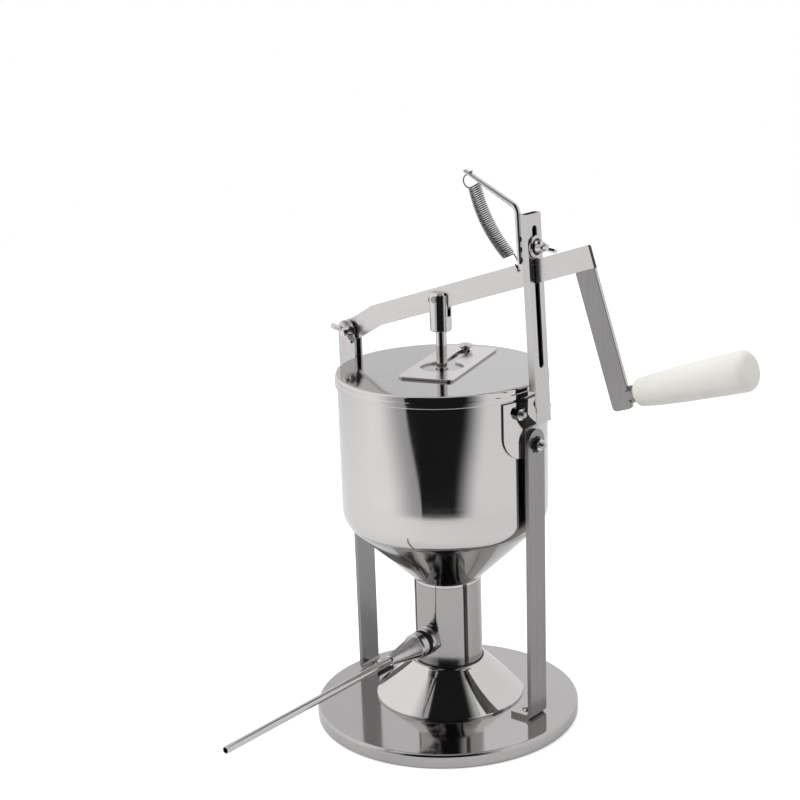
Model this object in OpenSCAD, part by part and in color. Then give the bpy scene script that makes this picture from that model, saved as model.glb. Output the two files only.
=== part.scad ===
// Manual churro filling machine: a lever presses a piston in the cylinder under the hopper
// Millimetres. The hopper axis is Z, the nozzle points to -Y and the lever's handle to +X

/* [Base] */
// Diameter of the round base plate
base_d = 250; // [240:1:300]
// Thickness of the base plate
base_t = 14; // [12:1:20]
// Radius of the rounded top and bottom edges of the base plate
base_edge_r = 3; // [1:0.5:5]
// Offset of the base plate towards the handle
base_shift_x = 6; // [0:1:8]
// Offset of the base plate towards the nozzle
base_shift_front = 12; // [0:1:16]

/* [Pedestal] */
// Bottom radius of the cone under the pump cylinder
ped_r = 71; // [60:1:75]
// Height of the straight lip at the foot of the cone
ped_lip = 2; // [1:0.5:5]
// Radius of the shoulder at the top of the cone
ped_top_r = 37.5; // [37:0.5:42]
// Height of the cone above the base plate
ped_h = 37; // [34:1:42]
// Radius of the rounded shoulder
ped_round = 4; // [2:0.5:4.5]
// Sheet thickness of the cone
ped_wall = 2; // [1.5:0.1:2.5]

/* [Pump cylinder] */
// Outside radius of the pump cylinder
tube_r = 32; // [28:0.5:32.5]
// Wall of the pump cylinder
tube_wall = 2; // [1.5:0.1:3]
// Height of the cylinder's lower end above the base plate
tube_sink = 30; // [24:1:31]
// Length of the pump cylinder
tube_len = 87; // [86:1:120]
// Thickness of the plate that closes the cylinder
floor_t = 3; // [2:0.5:5]
// Gap between the cylinder and the cone's hole
tube_fit = 0.15; // [0.1:0.05:0.3]

/* [Hopper] */
// Outside radius of the hopper
hopper_r = 96.4; // [90:0.1:98]
// Sheet thickness of the hopper
hopper_wall = 1.6; // [1.2:0.1:2]
// Height of the short neck on the pump cylinder
hopper_neck = 3; // [2:0.5:6]
// Height of the conical bottom
hopper_cone_h = 61.4; // [50:0.2:75]
// Outside radius of the bend between cone and wall
hopper_bend_r = 25; // [15:1:30]
// Height of the straight wall above the cone
hopper_len = 137.6; // [120:0.2:160]

/* [Lid] */
// Sheet thickness of the lid
lid_t = 1.5; // [1:0.1:2]
// Radial gap between the lid's skirt and the hopper
lid_gap = 0.5; // [0.4:0.1:1]
// Gap between the lid and the hopper's rim
lid_lift = 0.5; // [0.3:0.1:1]
// Depth of the lid's skirt
lid_skirt = 11; // [6:0.5:12]
// Radius of the lid's rounded edge
lid_edge_r = 2.5; // [2:0.1:4]
// Diameter of the hole for the piston rod
lid_hole_d = 12; // [12:0.5:16]

/* [Cover plate] */
// Width of the keyhole plate on the lid
cover_w = 53; // [50:1:60]
// Reach of the plate in front of the piston rod
cover_front = 44; // [34:1:60]
// Reach of the plate behind the piston rod
cover_back = 80; // [74:1:84]
// Thickness of the plate
cover_t = 2; // [1:0.1:2.4]
// Gap between the plate and the lid
cover_lift = 0.2; // [0.1:0.05:0.4]
// Gap between the plate's slot and the knob's shank
cover_end_gap = 0.5; // [0.3:0.1:1]
// Radius of the plate's corners
cover_corner_r = 5; // [3:0.5:10]
// Diameter of the round part of the keyhole
cover_hole_d = 40; // [38:1:44]
// Width of the slot part of the keyhole
cover_slot_w = 11; // [7:0.5:12]
// Turn of the plate from straight back
cover_turn = 16.5; // [0:0.5:30]

/* [Lid knob] */
// Diameter of the knob's head
knob_d = 14; // [12:0.5:18]
// Diameter of the knob's shank
knob_shank_d = 5; // [4:0.5:6]
// Height of the knob above the lid
knob_h = 9.5; // [8:0.5:14]
// Gap between the plate and the knob's head
knob_gap = 1; // [0.5:0.1:1.5]
// Width of the ledge under the knob's head
knob_neck = 1; // [0.5:0.1:2]
// Height of the knob's straight rim
knob_rim = 1; // [0.5:0.1:1.5]
// Height of the knob's domed top
knob_dome = 2; // [1:0.5:3]
// Distance of the knob from the piston rod
knob_reach = 63; // [58:1:66]

/* [Legs] */
// Width of the flat bar
leg_w = 25; // [22:1:30]
// Thickness of the flat bar
leg_t = 4; // [3:0.1:5]
// Length of the leg above the base plate
leg_len = 280; // [275:1:286]
// Length of the foot that points inwards
foot_len = 19; // [16:1:24]
// Distance of the foot's screw from the leg
foot_screw_in = 8.5; // [7:0.5:10]
// Length of the foot's screw in the base plate
foot_screw_len = 8; // [6:0.5:10]
// Depth of the screw's hole beyond the screw
foot_screw_gap = 1; // [0.5:0.1:1.5]
// Distance of the leg's bolt below its rounded top
leg_bolt_drop = 14; // [12:0.5:16]

/* [Pads] */
// Thickness of the curved plates on the hopper
pad_t = 2; // [1:0.1:2.5]
// Half width of a pad
pad_half_w = 33.5; // [30:0.5:38]
// Height of a pad
pad_h = 53; // [50:1:60]
// Distance of the pad's top below the hopper's rim
pad_drop = 11; // [10.5:0.5:14]
// Radius of the pad's lower corners
pad_corner_r = 22; // [10:1:26]
// Angle of each pad bolt from the middle of its pad
pad_bolt_deg = 10.4; // [10.3:0.1:12]
// Distance of the pad bolts below the pad's top
pad_bolt_drop = 10.5; // [9:0.5:14]

/* [Bolts] */
// Diameter of the machine bolts
bolt_d = 6; // [5:0.5:6]
// Gap around a bolt in its holes
bolt_gap = 0.2; // [0.15:0.05:0.4]
// Width across flats of the nuts
nut_af = 10; // [9:0.5:10]
// Thickness of the nuts
nut_h = 5; // [4:0.5:6]
// Height of the hexagon heads
hex_head_h = 4; // [3:0.5:5]
// Slope of the bevel on the nuts
nut_bevel = 1.2; // [0.8:0.1:1.6]
// Radius of the bolts' domed heads
head_r = 5.5; // [5:0.1:6]
// Height of the domed heads
head_h = 3; // [2:0.5:4]
// Length of thread that stands out of a nut
bolt_tail = 4; // [2:0.5:8]
// Gap between stacked plates
stack_gap = 0.05; // [0.02:0.01:0.1]

/* [Guide post] */
// Width of the post
post_w = 21; // [20:0.5:21]
// Depth of the post
post_depth = 7; // [6:0.5:9]
// Sheet thickness of the post and of the strips behind the legs
post_t = 1.5; // [1.5:0.1:2.5]
// Sheet thickness of the post's back
post_back_t = 1.2; // [1:0.1:1.5]
// Lean of the post towards the hopper
post_lean = 3; // [0:0.5:4]
// Gap between the lid and the post's back
post_clear = 5.9; // [4:0.1:8]
// Width of the slot in the post
post_slot_w = 7; // [6.6:0.1:9]
// Height of the slot's lower end above the lid
post_slot_rise = 16; // [12:1:18]
// Length of post above the slot
post_cap = 10; // [8:1:16]
// Drop of the post's open lower end below the lid's top
post_skirt = 4; // [2:1:6]
// Height of the step in the post's strip
post_jog_h = 6; // [5:0.5:12]
// Height of that step above the leg
post_jog_rise = 1.5; // [1:0.5:4]
// Length of the strips below the leg's bolt
strip_foot = 12; // [10:0.5:16]

/* [Dose stop] */
// Diameter of the stop washer
stop_washer_d = 20; // [18:0.5:24]
// Thickness of the stop washer
stop_washer_t = 2; // [1:0.1:3]
// Travel of the stop up the slot
stop_travel = 15; // [14.5:0.5:20]
// Gap between the stop and the lever at rest
stop_gap = 0.4; // [0.3:0.1:1]
// End clearance of the stop in the slot
stop_end_gap = 0.5; // [0.3:0.1:1]
// Running gap between the stop and the post
stop_fit = 0.3; // [0.2:0.05:0.5]

/* [Pivot bracket] */
// Gap between the bracket's cheeks
bracket_gap = 6; // [5.4:0.2:8]
// Sheet thickness of the bracket
bracket_t = 2.5; // [2:0.1:3]
// Depth of the bracket's cheeks
bracket_depth = 20; // [18:0.5:24]
// Gap between the lid and the cheeks
bracket_clear = 0.8; // [0.6:0.1:2]
// Distance of the pivot from the cheeks' inner edge
pivot_inset = 6.8; // [6:0.2:9]
// Height of the cheeks above the pivot
bracket_crown = 10; // [8:0.5:12]
// Drop of the cheeks' lower end below the lid's top
bracket_skirt = 14; // [13:0.5:16]
// Radius of the cheeks' upper corners
bracket_corner_r = 8; // [5:0.5:9]
// Radius of the notch at the cheeks' lower end
bracket_notch_r = 7; // [4:0.5:9]
// Height of the strip's bend above the leg
bracket_bend_rise = 2; // [1:0.5:4]
// Width of the bracket's lower strip
bracket_strip_w = 21; // [18:0.5:21]

/* [Wing nuts] */
// Radius of the hub
wing_hub_r = 5.6; // [5:0.1:6]
// Taper of the hub
wing_hub_taper = 1; // [0.5:0.1:1.5]
// Height of the hub
wing_hub_h = 6; // [5:0.5:8]
// Distance from the axis to the wing's tip
wing_span = 15; // [12:0.5:17]
// Thickness of the wings
wing_t = 2.4; // [1.6:0.1:3]
// Radius of the wing's tip
wing_tip_r = 3.6; // [2.5:0.1:4]
// Height of the wing's tip above the seat
wing_rise = 8.5; // [6:0.5:11]
// Turn of the pivot's wing nut
pivot_wing_turn = 28; // [0:1:60]
// Turn of the stop's wing nut
stop_wing_turn = -25; // [-35:1:20]

/* [Lever] */
// Height of the lever's flat bar
lever_h = 20; // [18:0.5:22]
// Thickness of the lever's flat bar
lever_t = 4; // [3:0.1:4.4]
// Slope of the lever at rest
lever_slope = 18.25; // [18:0.25:19]
// Distance from the piston pin to the bend
kink_s = 80; // [70:1:85]
// Angle of the bend
kink_deg = 12.5; // [10:0.5:14]
// Distance from the piston pin to the bar's end
lever_reach = 171.2; // [150:0.2:190]
// Height of the piston pin above the lid
pin_rise = 66; // [65:0.5:72]
// Press angle of the lever
press_deg = 18; // [12:0.5:18]
// Radial gap of the pivot bolt in the lever
pivot_fit = 0.05; // [0.03:0.01:0.1]
// Width of the slot for the piston pin
pin_slot_w = 7.5; // [7.4:0.1:9]
// Offset of the pin slot above the pin
pin_slot_offset = 0.35; // [0.2:0.05:0.5]
// End clearance of the pin slot
pin_slot_end = 0.8; // [0.5:0.1:1.5]

/* [Lever arm and grip] */
// Width of the arm
arm_w = 20; // [18:0.5:24]
// Length of the arm below the bar
arm_len = 122.5; // [100:0.5:126]
// Distance of the grip's axis from the arm's lower end
grip_inset = 11.9; // [11:0.1:16]
// Diameter of the spindle in the grip
spindle_d = 8; // [6:0.5:8]
// Length of the spindle beyond its nut
spindle_len = 90; // [60:1:100]
// Width across flats of the spindle's nut
grip_nut_af = 13; // [12:0.5:16]
// Thickness of the spindle's nut
grip_nut_h = 6; // [4:0.5:8]
// Length of the grip
grip_len = 118; // [112:1:130]
// Diameter of the grip at the lever
grip_d_in = 26; // [22:0.5:28]
// Largest diameter of the grip
grip_d_out = 35; // [32:0.5:38]
// Radius of the grip's edge at the lever
grip_edge_r = 3; // [1:0.5:5]
// Radius of the grip's rounded end
grip_nose_r = 12; // [8:0.5:15]
// Gap between the grip and its spindle
grip_fit = 0.15; // [0.1:0.05:0.3]

/* [Clevis and rod] */
// Diameter of the clevis
clevis_d = 20; // [18:0.5:20]
// Height of the clevis above the pin
clevis_up = 5.5; // [5:0.5:8]
// Length of the clevis below the pin
clevis_down = 30; // [26:0.5:30]
// Chamfer of the clevis
clevis_chamfer = 2; // [0.5:0.5:3]
// Gap between the lever and the clevis's cheeks
clevis_side_gap = 0.5; // [0.3:0.1:0.8]
// Depth of the clevis slot below the pin
clevis_slot_depth = 16; // [15:0.5:17]
// Diameter of the pin
pin_d = 6; // [5:0.5:6]
// Length of the pin outside each cheek
pin_out = 0.5; // [0.2:0.1:1]
// Diameter of the piston rod
rod_d = 10; // [8:0.5:10]
// Length of rod inside the clevis
rod_grip = 11; // [8:0.5:11]
// Gap above the rod's end in the clevis
rod_end_gap = 0.5; // [0.3:0.1:1]
// Gap of the pin and the rod in the clevis
clevis_fit = 0.05; // [0.03:0.01:0.1]

/* [Piston] */
// Thickness of the piston
piston_t = 12; // [11:0.5:16]
// Chamfer of the piston
piston_chamfer = 1; // [0.5:0.1:1.5]
// Gap between the piston and the cylinder
piston_gap = 0.5; // [0.4:0.1:1]
// Gap between the piston's seal and the cylinder
seal_gap = 0.3; // [0.25:0.05:0.4]
// Height of the seal
seal_h = 4; // [3:0.5:5]
// Depth of the seal's groove
seal_depth = 3; // [2:0.5:4]
// Distance of the piston below the cylinder's top at rest
piston_drop = 2; // [1:0.5:4]
// Diameter of the piston's flow holes
flow_d = 8; // [6:0.5:9]
// Radius of the circle of flow holes
flow_r = 18; // [16:0.5:18.5]
// Diameter of the rod's threaded end
tail_d = 8; // [6:0.5:8]
// Length of thread below the piston's nut
tail_out = 1; // [0.5:0.5:3]
// Reach of the valve flap beyond the flow holes
flap_lap = 3; // [2:0.5:3.5]
// Thickness of the valve flap
flap_t = 1.5; // [1:0.1:2]
// Diameter of the washer under the flap
valve_washer_d = 22; // [18:1:24]
// Thickness of the washer under the flap
valve_washer_t = 1.5; // [1:0.1:2]
// Width across flats of the piston's nut
piston_nut_af = 13; // [12:0.5:14]
// Thickness of the piston's nut
piston_nut_h = 6; // [4:0.5:7]

/* [Nozzle] */
// Height of the outlet above the base plate
outlet_rise = 63.5; // [61:0.5:66]
// Outside diameter of the outlet's ring
boss_d = 27; // [25:0.5:30]
// Length of the outlet's ring
boss_len = 8; // [5:0.5:10]
// Outside diameter of the outlet's spigot
spigot_d = 16; // [14:0.5:17]
// Length of the spigot beyond the ring
spigot_len = 9; // [6:0.5:11]
// Bore of the outlet
outlet_bore_d = 10; // [8:0.5:11]
// Outside diameter of the black seal
outlet_seal_d = 25; // [24:0.5:26]
// Thickness of the black seal
outlet_seal_t = 5; // [3:0.1:6]
// Diameter of the nozzle's collar
collar_d = 25; // [24:0.5:26]
// Length of the nozzle's collar
collar_len = 9; // [8:0.5:12]
// Chamfer of the nozzle's collar
collar_chamfer = 0.8; // [0.4:0.1:1]
// Diameter of the cone at its collar
cone_d = 23; // [21:0.5:23.5]
// Length of the cone
cone_len = 36; // [30:1:45]
// Diameter of the cone at its tip
cone_tip_d = 9; // [8.6:0.1:11]
// Outside diameter of the filling tube
spout_d = 7; // [6:0.1:7.2]
// Bore of the filling tube
spout_bore_d = 5; // [4:0.1:5.4]
// Length of tube outside the cone
spout_len = 214.5; // [150:0.5:260]
// Length of tube inside the cone
spout_grip = 10; // [8:0.5:12]
// Depth of the step where the tube enters the cone
spout_step = 0.3; // [0.2:0.05:0.4]
// Gap between that step and the cone
spout_seat = 0.2; // [0.1:0.05:0.3]
// Gap of the nozzle's plugged joints
spout_fit = 0.05; // [0.03:0.01:0.1]

/* [Spring hanger] */
// Diameter of the bent rod
hanger_d = 5; // [4:0.1:5.4]
// Length of rod along the post
hanger_rise = 43; // [40:0.5:46]
// Distance of the rod's lower end below the post's top
hanger_weld = 42; // [38:0.5:44]
// Bend radius of the rod
hanger_bend_r = 9; // [6:0.5:12]
// Angle of the bend in the rod
hanger_turn = 60; // [58:0.5:64]
// Length of rod after the bend
hanger_run = 56; // [50:0.5:60]
// Diameter of the hole for the spring
hanger_hole_d = 2.6; // [2.4:0.1:2.8]
// Distance of that hole from the rod's end
hanger_hole_inset = 4; // [3:0.1:6]

/* [Return spring] */
// Outside diameter of the spring
spring_od = 12.5; // [12:0.1:13]
// Diameter of the wire
wire_d = 1.3; // [1:0.05:1.35]
// Curls of the spring
spring_curls = 38; // [20:1:39]
// Length of the lower hook
hook_len = 13; // [12.5:0.1:14]
// Bend radius where a hook leaves the curls
hook_bend_r = 1.5; // [1.4:0.1:1.8]
// Radius of the loop at the upper end
loop_r = 6; // [5.5:0.1:6.2]
// Sag of the spring away from the post
spring_bow = 6; // [0:0.1:7]
// Distance from the piston pin to the spring's hole
spring_s = 94.8; // [90:0.2:96]
// Distance of that hole below the lever's top edge
spring_hole_drop = 5; // [4:0.1:6]
// Diameter of the spring's hole in the lever
spring_hole_d = 3.6; // [3.4:0.1:4.4]

/* [Hidden] */
$fn = 96;

tube_ri = tube_r - tube_wall;
tube_z0 = base_t + tube_sink;
tube_z1 = tube_z0 + tube_len;
corner_z = tube_z1 + hopper_neck + hopper_cone_h;
rim_z = corner_z + hopper_len;
hopper_ri = hopper_r - hopper_wall;
lid_r = hopper_r + lid_gap + lid_t;
lid_z = rim_z + lid_lift + lid_t;
cover_z = lid_z + cover_lift;
hole_d = bolt_d + 2 * bolt_gap;

// Plates stacked outwards from the hopper's wall
pad_r = hopper_r + stack_gap + pad_t;
strip_x = pad_r + stack_gap;
leg_x = strip_x + post_t + stack_gap;
leg_out_x = leg_x + leg_t;
leg_z1 = base_t + leg_len;
leg_bolt_z = leg_z1 - leg_bolt_drop;
foot_screw_x = leg_x - foot_screw_in;
pad_z1 = rim_z - pad_drop;
pad_bolt_z = pad_z1 - pad_bolt_drop;
strip_foot_z = leg_bolt_z - strip_foot;
head_seat_r = sqrt(pow(hopper_ri, 2) - pow(head_r, 2)) - stack_gap;
hole_from = hopper_ri - head_h;
hole_len = pad_r - hole_from + 1;

// The lever's own frame starts at the piston pin
pin_z = lid_z + pin_rise;
kink_x = -kink_s * cos(lever_slope);
kink_z = pin_z - kink_s * sin(lever_slope);
bracket_x = lid_r + bracket_clear;
pivot_x = -bracket_x - pivot_inset;
pivot_z = kink_z - (kink_x - pivot_x) * tan(lever_slope + kink_deg);
pivot_s = pivot_x * cos(lever_slope) + (pivot_z - pin_z) * sin(lever_slope);
pivot_t = -pivot_x * sin(lever_slope) + (pivot_z - pin_z) * cos(lever_slope);
pin_arm = norm([pivot_x, pin_z - pivot_z]);
pin_angle = atan2(pin_z - pivot_z, -pivot_x);
pin_run = (pin_arm * cos(pin_angle - press_deg) + pivot_x) / cos(lever_slope - press_deg);
bracket_w = bracket_gap + 2 * bracket_t;
bracket_bend_z = leg_z1 + bracket_bend_rise;
bracket_z0 = max(lid_z - bracket_skirt, bracket_bend_z + 2 * bracket_t);

// The post's outer face leans from its lower end
post_jog_z0 = leg_z1 + post_jog_rise;
post_jog_z1 = post_jog_z0 + post_jog_h;
post_z0 = max(lid_z - post_skirt, post_jog_z1 + 2 * post_t);
post_x0 = lid_r + post_clear + post_depth;
stop_x = stop_fit + stop_washer_t;
stop_r = stop_washer_d / 2;
stop_head_h = post_depth - post_t - post_back_t - 2 * stop_fit;
stop_z = (pin_z + stop_gap + lever_h / 2 / cos(lever_slope)
    + tan(lever_slope) * (post_x0 + post_z0 * tan(post_lean) + stop_x * cos(post_lean)
    + stop_r * sin(post_lean)) - stop_x * sin(post_lean) + stop_r * cos(post_lean))
    / (1 + tan(lever_slope) * tan(post_lean));
post_slot_z0 = lid_z + post_slot_rise;
post_slot_z1 = stop_z + stop_travel + bolt_d / 2 + stop_end_gap;
post_z1 = post_slot_z1 + post_cap;

// The hanger stands at the edge of the post's back
hang_z = post_z1 - hanger_weld;
hang_off = post_depth + hanger_d / 2 + stack_gap;
hang_y = -(post_w - post_t) / 2;
hang_end = [-hanger_bend_r * (1 - cos(hanger_turn)), hanger_rise + hanger_bend_r * sin(hanger_turn)];
hang_hole = hang_end + (hanger_run - hanger_hole_inset) * [-sin(hanger_turn), cos(hanger_turn)];
hang_hole_x = hang_hole[0] - hang_off;

// The spring runs from the lever's hole to the hanger's hole
spring_r = (spring_od - wire_d) / 2;
spring_t = lever_h / 2 - spring_hole_drop;
spring_low = [spring_s * cos(lever_slope) - spring_t * sin(lever_slope), 0,
    pin_z + spring_s * sin(lever_slope) + spring_t * cos(lever_slope)];
spring_top = [web_x(hang_z) + hang_hole_x * cos(post_lean) - hang_hole[1] * sin(post_lean), hang_y,
    hang_z + hang_hole_x * sin(post_lean) + hang_hole[1] * cos(post_lean)];
spring_reach = spring_top + [0, hook_bend_r, 0] - spring_low;
spring_span = norm(spring_reach);
spring_turns = spring_curls + 0.25;
loop_deg = 40;
loop_len = hook_bend_r * cos(loop_deg) + loop_r * (1 + sin(loop_deg));
spring_body = spring_span - hook_len - loop_len;
spring_a = spring_reach / spring_span;
spring_b = unit([0, 1, 0] - spring_a * spring_a[1]);
spring_c = cross(spring_a, spring_b);
hook_shift = (spring_r - sqrt(pow(spring_r, 2) - pow(lever_t / 2, 2))) / 2;
hook_tip = 2.2;
rings_per_curl = 8;
wire_sides = 6;

// The rod and the piston
clevis_z0 = pin_z - clevis_down;
rod_z1 = clevis_z0 + rod_grip;
piston_z1 = tube_z1 - piston_drop;
piston_z0 = piston_z1 - piston_t;
flap_z0 = piston_z0 - stack_gap - flap_t;
valve_washer_z0 = flap_z0 - stack_gap - valve_washer_t;
piston_nut_z0 = valve_washer_z0 - stack_gap - piston_nut_h;
groove_r = tube_ri - piston_gap - seal_depth;

// Distances along the nozzle, from the hopper's axis to the front
outlet_z = base_t + outlet_rise;
seal_y = tube_r + boss_len + stack_gap;
collar_y = seal_y + outlet_seal_t + stack_gap;
cone_y = collar_y + collar_len;
cone_end_y = cone_y + cone_len;
spigot_y = tube_r + boss_len + spigot_len;
spout_y = cone_end_y - spout_grip;
spout_plug_d = spout_d - 2 * spout_step;

// Distances along the grip, from the arm's edge
arm_z0 = -lever_h / 2 - arm_len;
grip_t = arm_z0 + grip_inset;
grip_s = lever_reach + grip_nut_h + 2 * stack_gap;

function unit(v) = v / norm(v);
function arc(c, r, a0, a1, n) =
    [for (i = [0 : n]) let (a = a0 + (a1 - a0) * i / n) c + r * [cos(a), sin(a)]];
function web_x(z) = post_x0 - (z - post_z0) * tan(post_lean);

// Frames and shared forms

module in_lever() translate([0, 0, pin_z]) rotate([0, -lever_slope, 0]) children();

module on_post(z) translate([web_x(z), 0, z]) rotate([0, -post_lean, 0]) children();

module along_nozzle() translate([0, 0, outlet_z]) rotate([90, 0, 0]) children();

module along_grip(s) in_lever() translate([s, 0, grip_t]) rotate([0, 90, 0]) children();

// A side outline in X and Z, given a width in Y
module y_bar(w) rotate([90, 0, 0]) linear_extrude(w, center = true) children();

// A front outline in Y and Z, pushed along X
module x_slab(x, len) translate([x, 0, 0]) rotate([90, 0, 90]) linear_extrude(len) children();

module x_hole(x, len, z, d) translate([x, 0, z]) rotate([0, 90, 0]) cylinder(d = d, h = len);

module y_hole(p, len, d) translate(p) rotate([90, 0, 0]) cylinder(d = d, h = len, center = true);

module hex_nut(af, h, bore) {
    difference() {
        intersection() {
            cylinder(d = af / cos(30), h = h, $fn = 6);
            cylinder(r1 = af / 2 + h * nut_bevel, r2 = af / 2, h = h);
        }
        translate([0, 0, -1]) cylinder(d = bore, h = h + 2);
    }
}

// A domed head that stands on its flat face
module dome(r, h) {
    ball_r = (r * r + h * h) / (2 * h);
    intersection() {
        translate([0, 0, h - ball_r]) sphere(r = ball_r);
        cylinder(r = r + 1, h = h + 1);
    }
}

module wing_nut() {
    root = wing_hub_r * cos(45);
    tip = [wing_span - wing_tip_r, wing_rise];
    side_of_tip = wing_tip_r * [-cos(60), sin(60)];
    difference() {
        union() {
            cylinder(r1 = wing_hub_r, r2 = wing_hub_r - wing_hub_taper, h = wing_hub_h);
            for (side = [0, 180]) rotate([0, 0, side]) y_bar(wing_t) {
                polygon([[root, wing_hub_taper], tip - side_of_tip, tip + side_of_tip, [root, wing_hub_h]]);
                translate(tip) circle(r = wing_tip_r);
            }
        }
        translate([0, 0, -1]) cylinder(d = hole_d, h = wing_hub_h + wing_rise + wing_tip_r);
    }
}

// A round wire along a path, whose first ring starts at the given side
module wire(path, d, sides, first) {
    last = len(path) - 1;
    way = [for (i = [0 : last]) unit(path[min(i + 1, last)] - path[max(i - 1, 0)])];
    side = [for (i = 0, n = unit(first - way[0] * (first * way[0])); i <= last; i = i + 1,
        n = i > last ? n : unit(n - way[i] * (n * way[i]))) n];
    points = [for (i = [0 : last], j = [0 : sides - 1]) let (a = 360 * j / sides)
        path[i] + d / 2 * (cos(a) * side[i] + sin(a) * cross(way[i], side[i]))];
    skin = [for (i = [0 : last - 1], j = [0 : sides - 1])
        let (p = i * sides + j, q = i * sides + (j + 1) % sides)
        each [[p, q + sides, q], [p, p + sides, q + sides]]];
    end = last * sides;
    caps = [for (j = [1 : sides - 2]) each [[0, j, j + 1], [end, end + j + 1, end + j]]];
    polyhedron(points, concat(skin, caps));
}

// Four radial places for the pad bolts
module at_pad_bolts() {
    for (side = [0, 180], turn = [-pad_bolt_deg, pad_bolt_deg])
        rotate([0, 0, side + turn]) translate([0, 0, pad_bolt_z]) rotate([0, 90, 0]) children();
}

module at_leg_bolts() {
    for (side = [0, 180]) rotate([0, 0, side]) translate([0, 0, leg_bolt_z]) rotate([0, 90, 0]) children();
}

// Stand

module base_plate() {
    r = base_d / 2;
    e = base_edge_r;
    color("silver") difference() {
        translate([base_shift_x, -base_shift_front, 0]) rotate_extrude() {
            difference() {
                square([r, base_t]);
                translate([r - e, 0]) square([e + 1, e]);
                translate([r - e, base_t - e]) square([e + 1, e + 1]);
            }
            translate([r - e, e]) circle(r = e);
            translate([r - e, base_t - e]) circle(r = e);
        }
        for (side = [-1, 1]) translate([side * foot_screw_x, 0, base_t - foot_screw_len - foot_screw_gap])
            cylinder(d = hole_d, h = base_t);
    }
}

module pedestal() {
    z1 = base_t + ped_h;
    slope = atan2(ped_h - ped_round - ped_lip, ped_r - ped_top_r);
    inset = ped_wall / sin(slope);
    color("gainsboro") rotate_extrude() difference() {
        polygon(concat([[0, base_t], [ped_r, base_t], [ped_r, base_t + ped_lip]],
            arc([ped_top_r - ped_round, z1 - ped_round], ped_round, 0, 90, 6), [[0, z1]]));
        polygon([[-1, base_t - 1], [ped_r - inset, base_t - 1], [ped_r - inset, base_t + ped_lip],
            [ped_top_r - inset, z1 - ped_round], [ped_top_r - ped_round, z1 - ped_wall],
            [-1, z1 - ped_wall]]);
        translate([-1, base_t]) square([tube_r + tube_fit + 1, ped_h + 1]);
    }
}

module pump_cylinder() {
    color("gainsboro") difference() {
        translate([0, 0, tube_z0]) cylinder(r = tube_r, h = tube_len);
        translate([0, 0, tube_z0 - 1]) cylinder(r = tube_ri, h = tube_len + 2);
        along_nozzle() cylinder(d = outlet_bore_d, h = tube_r + 1);
    }
}

module cylinder_floor() {
    color("silver") translate([0, 0, tube_z0 - floor_t]) cylinder(r = tube_r, h = floor_t);
}

module hopper() {
    cone_z = tube_z1 + hopper_neck;
    a = atan2(hopper_cone_h, hopper_r - tube_r);
    bend = [hopper_r - hopper_bend_r, corner_z + hopper_bend_r * (1 - sin(a)) / cos(a)];
    in_z = cone_z - tube_wall * tan(a) + hopper_wall / cos(a);
    color("gainsboro") difference() {
        rotate_extrude() polygon(concat([[tube_ri, tube_z1], [tube_r, tube_z1], [tube_r, cone_z]],
            arc(bend, hopper_bend_r, a - 90, 0, 8), [[hopper_r, rim_z], [hopper_ri, rim_z]],
            arc(bend, hopper_bend_r - hopper_wall, 0, a - 90, 8), [[tube_ri, in_z]]));
        at_pad_bolts() translate([0, 0, hole_from]) cylinder(d = hole_d, h = hole_len);
        at_leg_bolts() translate([0, 0, hole_from]) cylinder(d = hole_d, h = hole_len);
    }
}

module leg() {
    difference() {
        intersection() {
            y_bar(leg_w) polygon([[leg_x - foot_len, base_t], [leg_out_x, base_t], [leg_out_x, leg_z1],
                [leg_x, leg_z1], [leg_x, base_t + leg_t], [leg_x - foot_len, base_t + leg_t]]);
            x_slab(leg_x - foot_len - 1, foot_len + leg_t + 2) {
                translate([-leg_w / 2, base_t]) square([leg_w, leg_len - leg_w / 2]);
                translate([0, leg_z1 - leg_w / 2]) circle(d = leg_w);
            }
        }
        x_hole(leg_x - 1, leg_t + 2, leg_bolt_z, hole_d);
        translate([foot_screw_x, 0, base_t - 1]) cylinder(d = hole_d, h = leg_t + 2);
    }
}

module left_leg() color("silver") rotate([0, 0, 180]) leg();

module right_leg() color("silver") leg();

module foot_screws() {
    color("white") for (side = [-1, 1]) translate([side * foot_screw_x, 0, base_t]) {
        translate([0, 0, -foot_screw_len]) cylinder(d = bolt_d, h = foot_screw_len + leg_t + stack_gap);
        translate([0, 0, leg_t + stack_gap]) dome(head_r, head_h);
    }
}

module pad() {
    r = pad_corner_r;
    w = pad_half_w;
    difference() {
        intersection() {
            difference() {
                translate([0, 0, pad_z1 - pad_h - 1]) cylinder(r = pad_r, h = pad_h + 2);
                translate([0, 0, pad_z1 - pad_h - 2]) cylinder(r = hopper_r + stack_gap, h = pad_h + 4);
            }
            x_slab(hopper_r / 2, hopper_r) translate([0, pad_z1 - pad_h]) {
                translate([-w, r]) square([2 * w, pad_h - r]);
                translate([-w + r, 0]) square([2 * (w - r), pad_h]);
                for (side = [-1, 1]) translate([side * (w - r), r]) circle(r = r);
            }
        }
        at_pad_bolts() translate([0, 0, hole_from]) cylinder(d = hole_d, h = hole_len);
        at_leg_bolts() translate([0, 0, hole_from]) cylinder(d = hole_d, h = hole_len);
    }
}

module left_pad() color("silver") rotate([0, 0, 180]) pad();

module right_pad() color("silver") pad();

module pad_bolts() {
    color("white") at_pad_bolts() {
        translate([0, 0, head_seat_r]) mirror([0, 0, 1]) dome(head_r, head_h);
        translate([0, 0, head_seat_r]) cylinder(d = bolt_d, h = pad_r - head_seat_r + nut_h + bolt_tail);
    }
}

module pad_nuts() {
    color("white") at_pad_bolts() translate([0, 0, pad_r + stack_gap])
        rotate([0, 0, 30]) hex_nut(nut_af, nut_h, bolt_d + 2 * clevis_fit);
}

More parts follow.
